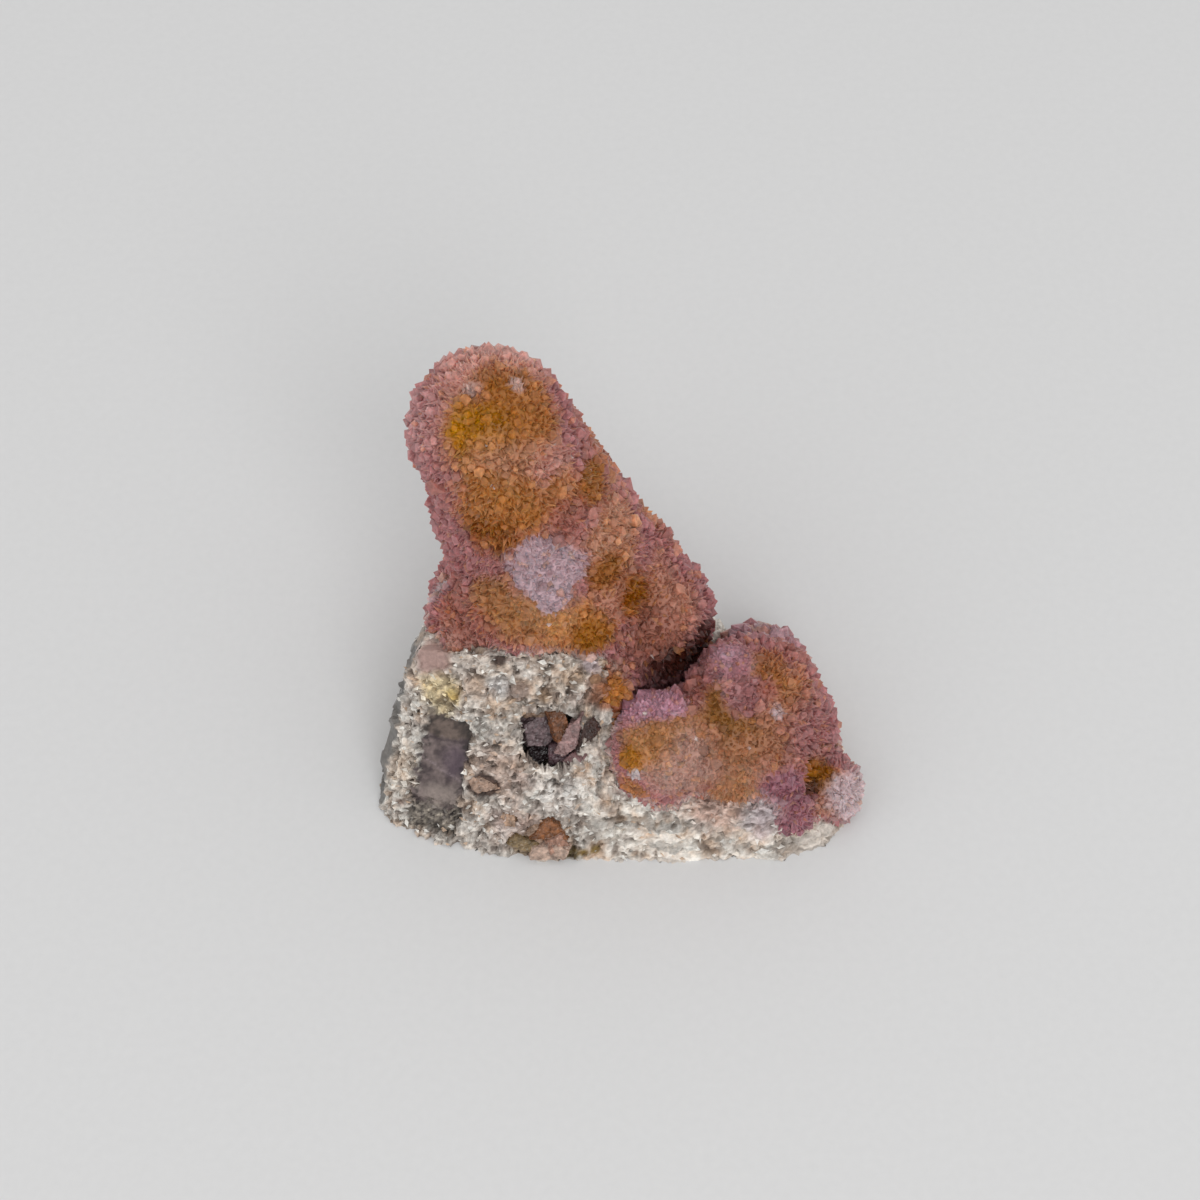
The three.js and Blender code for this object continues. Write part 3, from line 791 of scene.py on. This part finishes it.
def make_crystals(name, core, lumps, patches, hidden, seed):
    """Covers a core in crystals of about 1 mm, sparser on its stained side and where they stand low."""
    rng = np.random.default_rng(seed)
    places, normals, standing, flank = druse_places(core, lumps, hidden, LARGE_RADIUS, rng)
    kept = rng.random(len(places)) < (0.42 + 0.58 * flank) * np.where(standing < LOW_STANDING, 0.35, 1)
    places, normals, standing, flank = (values[kept] for values in (places, normals, standing, flank))
    count = len(places)
    facings = tilted(normals, 0.22, standing, rng)
    big = np.where(rng.random(count) < 0.07 * standing, 1.3, 1)
    widths = LARGE_RADIUS * rng.uniform(0.75, 1.3, count) * big
    widths *= np.where(standing > TALL_STANDING, 1.25, 1) * (1 + 0.4 * flank)
    widths *= np.where(standing < LOW_STANDING, 1.2, 1)
    heights = (0.42 + rng.uniform(0, 0.5, count)) * standing * big
    heights = heights * (1 + 0.35 * flank) + CORE_DEPTH * 0.6
    crystals, owner, rise = crystal_mesh(name, places, facings, widths, heights, LARGE_SINK, rng)
    paint(crystals, "tint", crystal_colours(places, normals, patches, owner, rise, rng))
    return crystals


def make_small_crystals(name, core, lumps, patches, hidden, seed):
    """Fills the room between the larger crystals with tips of about half their size."""
    rng = np.random.default_rng(seed)
    places, normals, standing, flank = druse_places(core, lumps, hidden, SMALL_RADIUS, rng)
    count = len(places)
    facings = tilted(normals, 0.35, standing, rng)
    widths = SMALL_RADIUS * rng.uniform(0.9, 1.6, count) * np.where(standing < LOW_STANDING, 1.9, 1)
    heights = rng.uniform(0.4, 0.85, count) * standing * (1 - 0.35 * flank) + CORE_DEPTH * 0.6
    tips, owner, rise = pyramid_mesh(name, places, facings, widths, heights, SMALL_SINK, rng)
    paint(tips, "tint", crystal_colours(places, normals, patches, owner, rise, rng))
    return tips


# Materials


class Look:
    """A procedural material in the making."""

    def __init__(self, name):
        self.material = bpy.data.materials.new(name)
        self.material.use_nodes = True
        self.nodes = self.material.node_tree.nodes
        self.place = self.nodes.new("ShaderNodeTexCoord").outputs["Object"]

    def fill(self, node, inputs):
        """Gives each input of a node a constant, or joins it to another node's output."""
        for socket, value in inputs.items():
            if isinstance(value, bpy.types.NodeSocket):
                self.material.node_tree.links.new(value, node.inputs[socket])
            else:
                node.inputs[socket].default_value = value

    def shade(self, inputs):
        """Fills inputs of the material's shader."""
        self.fill(self.nodes["Principled BSDF"], inputs)

    def add(self, kind, output, inputs, operation=None):
        """A new node's output."""
        node = self.nodes.new(f"ShaderNode{kind}")
        if operation:
            node.operation = operation
        self.fill(node, inputs)
        return node.outputs[output]

    def painted(self, attribute):
        node = self.nodes.new("ShaderNodeAttribute")
        node.attribute_name = attribute
        return node.outputs["Color"]

    def noise(self, scale, detail=4, distortion=0, stretch=None):
        """Noise over the object, drawn out along the axes with the smaller stretch."""
        place = self.place
        if stretch:
            place = self.add("VectorMath", "Vector", {0: place, 1: stretch}, "MULTIPLY")
        inputs = {"Vector": place, "Scale": scale, "Detail": detail, "Distortion": distortion}
        return self.add("TexNoise", "Fac", inputs)

    def ranged(self, source, low, high, start=0.3, stop=0.7):
        """Low to high, as the source goes from start to stop."""
        inputs = {"Value": source, "From Min": start, "From Max": stop, "To Min": low, "To Max": high}
        return self.add("MapRange", "Result", inputs)

    def mixed(self, share, low, high):
        return self.add("Mix", "Result", {"Factor": share, "A": low, "B": high})

    def scaled(self, colour, level):
        return self.add("VectorMath", "Vector", {0: colour, "Scale": level}, "SCALE")

    def bump(self, height, strength, distance, after=None):
        """Relief on the shader, on top of an earlier relief if there is one."""
        inputs = {"Height": height, "Strength": strength, "Distance": distance}
        if after:
            inputs["Normal"] = after
        relief = self.add("Bump", "Normal", inputs)
        self.shade({"Normal": relief})
        return relief


def druse_material():
    look = Look("druse crystal")
    grain = look.noise(1100)
    colour = look.scaled(look.painted("tint"), look.ranged(grain, 0.78, 1.24))
    look.shade({
        "Base Color": look.scaled(colour, look.ranged(look.noise(2300, 3), 0.8, 1.22)),
        "Roughness": look.ranged(grain, 0.26, 0.5),
        "IOR": QUARTZ_IOR,
        "Specular IOR Level": 0.25,
        "Transmission Weight": 0.1,
        "Subsurface Weight": 0.6,
        "Subsurface Radius": (1.0, 0.62, 0.5),
        "Subsurface Scale": 0.9 * MM,
    })
    look.bump(look.noise(2600, 5), 0.3, 0.08 * MM)
    return look.material


def crust_material():
    look = Look("iron stained crust")
    grain = look.noise(1400)
    look.shade({
        # The stained tint is lifted brighter here, as painted light against the shade between the
        # crystals.
        "Base Color": look.scaled(look.painted("tint"), look.ranged(grain, 0.9, 1.4)),
        "Roughness": look.ranged(grain, 0.45, 0.75),
    })
    look.bump(look.noise(1800, 5), 0.6, 0.2 * MM)
    return look.material


def rock_material():
    """Sugary broken quartz: even grains, fibres up the front, streaks along the foot, bare faces."""
    look = Look("granular matrix quartz")
    kind = {"Color": look.painted("kind")}
    layered, fibrous, bare = (look.add("SeparateColor", part, kind) for part in ("Red", "Green", "Blue"))
    even = look.noise(ROCK_GRAIN, 5, 1.4)
    along = look.noise(ROCK_GRAIN, 5, 0.9, (0.22, 0.22, 1.3))
    upright = look.noise(ROCK_GRAIN, 5, 0.9, (1.3, 0.8, 0.2))
    height = look.mixed(fibrous, look.mixed(layered, even, along), upright)
    broken = look.ranged(height, 0.55, 1.14, 0.36, 0.6)
    calm = look.ranged(height, 0.93, 1.05, 0.36, 0.62)
    fine = look.noise(2400)
    colour = look.scaled(look.painted("tint"), look.mixed(bare, broken, calm))
    rough = look.ranged(fine, 0.55, 0.85)
    glossy = look.ranged(fine, 0.28, 0.45)
    look.shade({
        "Base Color": look.scaled(colour, look.ranged(fine, 0.82, 1.15)),
        "Roughness": look.mixed(bare, rough, glossy),
        "Specular IOR Level": 0.4,
    })
    relief = look.add("Math", "Value", {0: height, 1: look.ranged(bare, 1, 0.12, 0, 1)}, "MULTIPLY")
    coarse = look.bump(relief, 0.9, 0.45 * MM)
    look.bump(fine, 0.35, 0.12 * MM, coarse)
    return look.material


def glassy_material(name, transmission, roughness):
    look = Look(name)
    grain = look.noise(700, 5, 0.8)
    colour = look.scaled(look.painted("tint"), look.ranged(grain, 0.65, 1.35))
    look.shade({
        "Base Color": look.scaled(colour, look.ranged(look.noise(2600), 0.75, 1.25)),
        "Roughness": look.ranged(grain, roughness * 0.6, roughness * 1.6),
        "IOR": QUARTZ_IOR,
        "Transmission Weight": transmission,
    })
    look.bump(look.noise(700, 5), 0.25, 0.2 * MM)
    return look.material


# Matrix


def window_edge(along, up):
    """Distance outside the bare face's outline on the broken front, negative inside."""
    right = along - (WINDOW_RIGHT + 0.04 * up)
    left = -along - WINDOW_LEFT + 0.09 * up
    return np.maximum.reduce([right, left, up - WINDOW_TOP, -up - WINDOW_FOOT])


def front_place(points, origin):
    """How far along, up and out of the matrix's broken front the points are from an origin."""
    off = points - np.array(origin)
    return off @ FRONT_RIGHT, off @ FRONT_UP, off @ FRONT_OUT


def rock_kinds(points, outward):
    """Where the rock is layered, fibrous or bare, in the bare face's recess, or on the left side."""
    x, z = points[:, 0], points[:, 2]
    ragged = noise_at(points, 1.6, 3)
    layered = smooth((LAYERS_TOP - z + 0.8 * ragged) / 2.0) * smooth((x - LAYERS_LEFT) / 3)
    fibrous = smooth((x - FIBRES_LEFT) / 1.6) * smooth((FIBRES_RIGHT - x) / 2)
    fibrous = fibrous * smooth((z - FIBRES_FOOT) / 2) * smooth((FIBRES_TOP - z) / 2)
    along, up, out = front_place(points, WINDOW_MIDDLE)
    facing = smooth((outward @ FRONT_OUT - 0.8) / 0.1)
    window = facing * smooth(0.5 - (window_edge(along, up) + ragged) / 0.5)
    even_part = window * smooth((up - RUBBLE_TOP + 0.8 * ragged) / 1.2)
    behind = -out - SIDE_START
    side = smooth((-outward[:, 0] - 0.62) / 0.1) * smooth((behind + 0.5 * ragged) / 0.5)
    patchy = 0.45 + 1.5 * noise_at(points + 33, 4.5, 3)
    side = side * smooth(np.maximum(2.0 - behind / 3.5, patchy))
    ledge = smooth(1.5 - distance_to(points, BARE_LEDGE) / 2.4)
    end = 0.35 * smooth(1.6 - distance_to(points, PALE_END) / 4.2)
    bare = np.maximum.reduce([even_part, side, ledge, end])
    return SimpleNamespace(
        layered=layered, fibrous=fibrous, bare=bare, window=window, side=side, along=along, up=up, out=out
    )


def rock_texture(points):
    """What the rock is like at each point: its kinds, the grains it broke into, streaks and pits."""
    at = rock_kinds(points, matrix_normals(points))
    at.blocks, at.block_seams = broken_cells(points, 2.8, 0)
    at.grains, at.grain_seams = broken_cells(points, 1.15, 11)
    at.specks, at.speck_seams = broken_cells(points, 0.55, 23)
    at.streaks = noise_at(points * np.array([0.28, 0.28, 1.15]), 1.1, 4)
    at.fibres = noise_at(points * np.array([1.2, 0.5, 0.22]), 1.0, 4)
    pits = smooth((noise_at(points + 120, 1.7, 3) - 0.3) / 0.2)
    at.pits = pits * (1 - at.layered) * (1 - 0.7 * at.fibrous)
    return at


def rock_depth(points, at):
    """How far in the rock's surface lies from its unbroken blocks, negative outside them."""
    broad = noise_at(points, 7.0, 2)
    broken = -STANDS_OUT + 0.3 * (1 - broad) + 0.5 * (1 - at.blocks)
    broken = broken + 0.42 * (1 - at.grains) + 0.25 * (1 - at.specks)
    lines = 0.4 * at.block_seams**2 + 0.6 * at.layered * np.abs(at.streaks)
    lines = lines + 0.5 * at.fibrous * np.abs(at.fibres)
    broken = broken + lines + 0.7 * at.pits
    calm = 0.2 * (1 - broad) + (0.12 + 0.5 * at.side) * (1 - at.blocks) - 0.1
    depth = broken + (calm - broken) * at.bare
    recess = np.clip(at.out - WINDOW_FLOOR + 0.12 * noise_at(points, 2.5, 2), 0, 2.4)
    in_window = recess + 0.35 * (broken + STANDS_OUT) * (1 - at.bare)
    depth = depth + (in_window - depth) * at.window
    return depth + 1.3 * smooth(1.5 - distance_to(points, SUNK_CORNER) / 6)


def sink_surface(rock, points, depth):
    """Moves the rock's surface in by a depth, but only sideways at its foot, which stays flat below."""
    normals = normals_of(rock)
    above_ground = smooth(points[:, 2] / FOOT_BAND)
    sides = side_distance(points)
    outer = slope_of(side_distance, points, 0.02)
    underneath = (points[:, 2] < FOOT_BAND) & (sides > -UNDERSIDE_RIM)
    fade = np.where(underneath, smooth(1 + sides / UNDERSIDE_RIM), 1)
    direction = np.where(underneath[:, None], outer, normals)
    direction[:, 2] *= above_ground
    moved = points - direction * (depth * fade)[:, None]
    moved[:, 2] = np.maximum(moved[:, 2], 0)
    place_vertices(rock, moved)


def rock_colours(points, at):
    """Pale quartz with warm and grey mottles, stains, and dark seams with painted shade in the sunk ones,
    the left side in painted shade, and the bare face.
    """
    wander = noise_at(points, 2.6)
    mottle = smooth(0.5 + noise_at(points + 90, 4.0) * 0.9) * 0.6 + 0.4 * (1 - at.grains)
    mottle = mottle + 0.5 * smooth((points[:, 2] - 15) / 6)
    colours = blend(srgb(ROCK_PALE), srgb(ROCK_MID), np.clip(mottle, 0, 1))
    colours = blend(colours, srgb(ROCK_WARM), 0.85 * smooth(0.2 + noise_at(points + 30, 3.0, 3)))
    grey = smooth(0.1 + noise_at(points + 60, 2.2, 3))
    colours = blend(colours, srgb(ROCK_GREY), 0.7 * grey * (1 - at.layered))
    colours = patch_colours(points, ROCK_PATCHES, colours, wander)
    # Dark joints between grains, with painted shade where the surface is sunk: seams, streak and fibre
    # grooves, low grains and pits.
    seams = 0.5 * at.grain_seams**2 + 0.3 * at.speck_seams**2 + 0.5 * at.block_seams**2
    seams += 0.55 * at.layered * smooth((at.streaks - 0.1) / 0.35)
    seams += 0.25 * at.fibrous * smooth((at.fibres - 0.1) / 0.35)
    seams += 0.4 * (1 - at.grains) - 0.36 - 0.32 * at.layered - 0.3 * at.fibrous + 0.6 * at.pits
    dark = np.clip(seams, 0, 1) * (1 - at.bare) * (1 - 0.5 * at.window)
    colours = blend(colours, srgb(ROCK_CREVICE_SHADE) * 0.6 + colours * 0.2, 0.85 * dark)
    # The left side, turned from the lamps, is painted grey as painted shade.
    colours = blend(colours, srgb(SHADED_SIDE_GREY) * (1 + 0.3 * wander[:, None]), 0.95 * at.side)
    return blend(colours, window_colours(points, at), at.window)


def window_colours(points, at):
    """The bare face: brown at its top, violet grey with a cloudy veil, dark and granular at its foot, with
    painted shadow along its rim.
    """
    along, up = at.along, at.up
    ragged = noise_at(points + 7, 1.2, 3)
    cloud = 0.5 + noise_at(points * np.array([1, 1, 0.6]), 2.0) * 0.9 + noise_at(points + 15, 0.9) * 0.5
    cloud = smooth(cloud)
    colours = blend(srgb(FACE_DARK), srgb(FACE_CLOUD), cloud)
    violet = smooth(1.4 - np.hypot((along - 1.2) / 2.0, (up - 2.2) / 2.6))
    colours = blend(colours, srgb(FACE_VIOLET), 0.7 * violet)
    band = smooth((up - 5.2 + 0.5 * ragged) / 0.4)
    colours = blend(colours, srgb(FACE_BROWN) * (0.5 + 0.9 * cloud[:, None]), 0.85 * band)
    step = smooth(1 - np.abs(up - 5.0 + 0.25 * ragged) / 0.45)
    colours = blend(colours, srgb(FACE_STEP), 0.8 * step)
    veil = smooth(1.5 - np.hypot((along + 0.2) / 2.8, (up + 3.2 + 0.5 * ragged) / 1.6))
    colours = blend(colours, srgb(FACE_VEIL), 0.7 * veil)
    scratch = smooth(1 - np.abs(up + 0.55 * along - 0.4 + 0.35 * ragged) / 0.28)
    colours = blend(colours, srgb(FACE_SCRATCH), 0.5 * scratch)
    rubble = blend(srgb(RUBBLE_DARK), srgb(RUBBLE_PALE), at.specks)
    colours = blend(colours, rubble, smooth(RUBBLE_TOP - up + 0.8 * ragged))
    # Painted shadow along the edge of the bare face's recess.
    rim_shade = smooth(1 - np.abs(window_edge(along, up) + ragged + 0.35) / 0.5)
    return colours * (1 - 0.65 * rim_shade[:, None])


def carve(piece, middle, half, lean):
    """Cuts a leaning ellipsoid out of a piece."""
    bm = bmesh.new()
    bmesh.ops.create_icosphere(bm, subdivisions=3, radius=1)
    shape = Matrix.Rotation(-math.radians(lean), 4, "X") @ Matrix.Diagonal((*half, 1))
    bm.transform(Matrix.Translation(middle) @ shape)
    cutter = object_from(bm, "hollow")
    cut = piece.modifiers.new("cut", "BOOLEAN")
    cut.operation = "DIFFERENCE"
    cut.object = cutter
    apply_modifiers(piece)
    bpy.data.objects.remove(cutter)


def make_rock():
    bm = bmesh.new()
    for corners in (FOOT, BLOCK):
        new = [bm.verts.new(corner) for corner in corners]
        made = bmesh.ops.convex_hull(bm, input=new)
        loose = [v for v in made["geom_interior"] if isinstance(v, bmesh.types.BMVert)]
        bmesh.ops.delete(bm, geom=loose, context="VERTS")
    rock = object_from(bm, "matrix_rock")
    voxel_remesh(rock, ROCK_VOXEL * 2)
    for middle, half, lean in HOLLOWS:
        carve(rock, middle, half, lean)
    voxel_remesh(rock, ROCK_VOXEL)
    points = vertices_of(rock)
    for _ in range(2):
        off = matrix_distance(points)
        points = points - matrix_normals(points) * np.where(np.abs(off) < SNAP_REACH, off, 0)[:, None]
    place_vertices(rock, points)
    at = rock_texture(points)
    sink_surface(rock, points, rock_depth(points, at))
    paint(rock, "tint", rock_colours(points, at))
    paint(rock, "kind", np.stack([at.layered * (1 - at.window), at.fibrous, at.bare], axis=1))
    return rock


def hollow_share(points):
    """How far from a hollow's middle each point is, as a share of the hollow's half size."""
    nearest = np.full(len(points), 9.0)
    for middle, half, lean in HOLLOWS:
        x, y, z = (points - np.array(middle)).T
        c, s = math.cos(math.radians(lean)), math.sin(math.radians(lean))
        upright = np.stack([x, y * c - z * s, y * s + z * c], axis=1)
        nearest = np.minimum(nearest, np.linalg.norm(upright / np.array(half), axis=1))
    return nearest


def shard_mesh(name, places, facings, sizes, rng):
    """Joined angular flakes. Returns the object and each vertex's flake."""
    count = len(places)
    side, other = side_directions(facings)
    arms = np.stack([side, other, -side, -other, facings, -facings], axis=1)
    reach = sizes[:, None] * rng.uniform(0.55, 1.35, (count, 6))
    reach *= np.array(FLAKE_SHAPE)
    jitter = rng.normal(0, 0.18, (count, 6, 3)) * sizes[:, None, None]
    faces = []
    for k in range(4):
        m = (k + 1) % 4
        faces += [[k, m, 4], [m, k, 5]]
    return joined(name, places[:, None] + arms * reach[:, :, None] + jitter, faces)


def make_grains(rock):
    """Sugary quartz flakes over the matrix's broken faces."""
    rng = np.random.default_rng(17)

    def shows(points):
        return (points[:, 2] > 0.5) & (druse_distance(points, ALL_LUMPS) > -0.3)

    places = scatter(rock, FLAKE_PITCH, rng, shows)
    outward = matrix_normals(places)
    at = rock_kinds(places, outward)
    keep = (rng.random(len(places)) > 1.2 * at.bare) & (rng.random(len(places)) > 0.35 * at.fibrous)
    keep &= (matrix_distance(places) > -DEEPEST_FLAKE) & (hollow_share(places) > HOLLOW_RIM)
    keep &= rng.random(len(places)) > 0.45 * at.layered
    places, outward, window = places[keep], outward[keep], at.window[keep]
    count = len(places)
    facings = unit(outward + rng.normal(0, 0.4, (count, 3)))
    sizes = rng.uniform(0.18, 0.6, count)
    grains, owner = shard_mesh("matrix_grains", places, facings, sizes, rng)
    ground = srgb(ROCK_PALE) * rng.uniform(0.7, 1.05, (count, 1))
    beige = rng.random((count, 1)) < 0.25
    ground = np.where(beige, srgb(ROCK_WARM) * rng.uniform(0.7, 1.0, (count, 1)), ground)
    colours = patch_colours(places, ROCK_PATCHES, ground, noise_at(places, 2.6))
    colours = blend(colours, srgb(WINDOW_FLAKES) * rng.uniform(0.5, 1.3, (count, 1)), window)
    paint(grains, "tint", colours[owner])
    return grains


# Crystals bedded in the matrix


def bedded_points(name, spots, seed):
    """Larger quartz points: each spot is its middle, facing, width, length and colour."""
    rng = np.random.default_rng(seed)
    places, facings, widths, lengths, tints = (
        np.array([spot[k] for spot in spots], float) for k in range(5)
    )
    points, owner, rise = crystal_mesh(name, places, unit(facings), widths, lengths, POINT_SINK, rng)
    colours = srgb(tints) * rng.uniform(0.9, 1.1, (len(spots), 1))
    paint(points, "tint", colours[owner] * (0.8 + 0.35 * rise[:, None]))
    return points


def on_front(x, z, inward):
    """A point of the broken front by its x and z, sunk inward."""
    depth = FRONT_LEVEL - FRONT_OUT[0] * x - FRONT_OUT[2] * z
    surface = np.array((x, depth / FRONT_OUT[1], z))
    return tuple(surface - FRONT_OUT * inward)


def blade(bm, middle, facing, outline, thickness, turn):
    """Adds a flat-faced crystal: a face by its outline round the middle, and the thickness behind it."""
    facing = Vector(facing).normalized()
    right = Vector((0, 0, 1)).cross(facing).normalized()
    up = facing.cross(right)
    spun = Matrix.Rotation(math.radians(turn), 3, facing)
    right, up = spun @ right, spun @ up
    front = [bm.verts.new(Vector(middle) + right * u + up * v) for u, v in outline]
    back = [bm.verts.new(v.co - facing * thickness + (v.co - Vector(middle)) * BLADE_FLARE) for v in front]
    bm.faces.new(front)
    bm.faces.new(back[::-1])
    for k in range(len(front)):
        m = (k + 1) % len(front)
        bm.faces.new([front[m], front[k], back[k], back[m]])


def blade_piece(name, blades):
    """One mesh of chipped and worn blades, each in its colour."""
    points, faces, tints = [], [], []
    for spot, facing, thickness, turn, colour, outline in blades:
        bm = bmesh.new()
        blade(bm, on_front(*spot), facing, outline, thickness, turn)
        bmesh.ops.recalc_face_normals(bm, faces=bm.faces)
        one = object_from(bm, "blade")
        voxel_remesh(one, BLADE_VOXEL)
        skin = vertices_of(one)
        chips, chip_seams = broken_cells(skin, 1.0, 5)
        worn = 0.1 * (1 - chips) + 0.25 * np.abs(noise_at(skin + 3, 0.8, 3))
        start = sum(len(part) for part in points)
        faces += [[start + corner for corner in face.vertices] for face in one.data.polygons]
        shade = 1.1 - 0.25 * chip_seams**2 + 0.5 * noise_at(skin + 9, 0.9, 3)
        tints.append(srgb(colour) * shade[:, None])
        points.append(on_ground(skin - normals_of(one) * worn[:, None]))
        bpy.data.objects.remove(one)
    piece = add_object(name, np.concatenate(points), faces)
    paint(piece, "tint", np.concatenate(tints))
    return piece


# Stage, light and camera


def make_stage():
    corners = np.array([(-1, -1, 0), (1, -1, 0), (1, 1, 0), (-1, 1, 0)]) * PAPER_HALF
    floor = add_object("floor", corners, [[0, 1, 2, 3]])
    look = Look("plain pale paper")
    shade = look.ranged(look.noise(900, 3), 0.66, 0.7, 0, 1)
    look.shade({"Base Color": shade, "Roughness": 0.9})
    floor.data.materials.append(look.material)


def area_light(name, azimuth, elevation, distance, size, power):
    a, e = math.radians(azimuth), math.radians(elevation)
    towards = Vector((math.sin(a) * math.cos(e), -math.cos(a) * math.cos(e), math.sin(e)))
    data = bpy.data.lights.new(name, "AREA")
    data.shape = "DISK"
    data.size = size
    data.energy = power
    lamp = new_object(name, data)
    lamp.location = CAMERA_TARGET + towards * distance
    lamp.rotation_euler = towards.to_track_quat("Z", "Y").to_euler()


def make_lights():
    area_light("key", azimuth=20, elevation=44, distance=1.0, size=0.6, power=2.75)
    area_light("fill", azimuth=-60, elevation=40, distance=1.1, size=0.9, power=0.9)
    world = bpy.data.worlds.new("soft room")
    bpy.context.scene.world = world
    world.use_nodes = True
    sky = world.node_tree.nodes["Background"]
    sky.inputs["Color"].default_value = (1, 1, 1, 1)
    sky.inputs["Strength"].default_value = SKY_STRENGTH


def make_camera():
    towards = Vector((0, -math.cos(CAMERA_ELEVATION), math.sin(CAMERA_ELEVATION)))
    data = bpy.data.cameras.new("camera")
    data.sensor_width = SENSOR
    data.lens = SENSOR * CAMERA_DISTANCE / VIEW_WIDTH
    camera = new_object("camera", data)
    camera.location = CAMERA_TARGET + towards * CAMERA_DISTANCE
    camera.rotation_euler = towards.to_track_quat("Z", "Y").to_euler()
    bpy.context.scene.camera = camera


# The specimen's pieces


def hidden_by(others, matrix_cover):
    """A test of where a spire group's crystals don't show: inside the matrix or the other group."""
    def hidden(points):
        border = 0.9 * noise_at(points, 1.7, 2) - matrix_cover
        return (matrix_distance(points) < border) | (druse_distance(points, others) < -GROUP_COVER)

    return hidden


def make_spires(node, lumps, patches, hidden, seed, crust, druse):
    core = make_core(f"{node}_crust", lumps)
    skin = vertices_of(core)
    ground = druse_ground(skin, druse_normals(skin, lumps))
    paint(core, "tint", patch_colours(skin, patches, ground, noise_at(skin, 3.2)))
    crystals = make_crystals(f"{node}_crystals", core, lumps, patches, hidden, seed)
    small = make_small_crystals(f"{node}_small_crystals", core, lumps, patches, hidden, seed + 100)
    for piece, material in ((core, crust), (crystals, druse), (small, druse)):
        finish_piece(piece, node, material)


def make_matrix():
    rock = make_rock()
    flakes = make_grains(rock)
    blades = blade_piece("bedded_crystals", BLADES)
    stained = bedded_points("stained_crystals", STAINED_POINTS, 22)
    for piece, material in (
        (rock, rock_material()),
        (flakes, glassy_material("quartz flakes", 0.15, 0.4)),
        (blades, glassy_material("smoky quartz", 0.1, 0.25)),
        (stained, glassy_material("stained quartz", 0.3, 0.22)),
    ):
        finish_piece(piece, "matrix", material)


make_camera()
make_lights()
make_stage()

druse = druse_material()
crust = crust_material()
hidden_tall = hidden_by(SHORT_SPIRES, matrix_cover=1.0)
hidden_short = hidden_by(TALL_SPIRE, matrix_cover=0.8)
make_spires("tall_spire", TALL_SPIRE, TALL_PATCHES, hidden_tall, 5, crust, druse)
make_spires("short_spires", SHORT_SPIRES, SHORT_PATCHES, hidden_short, 6, crust, druse)
make_matrix()

bpy.context.scene.view_settings.view_transform = "Standard"
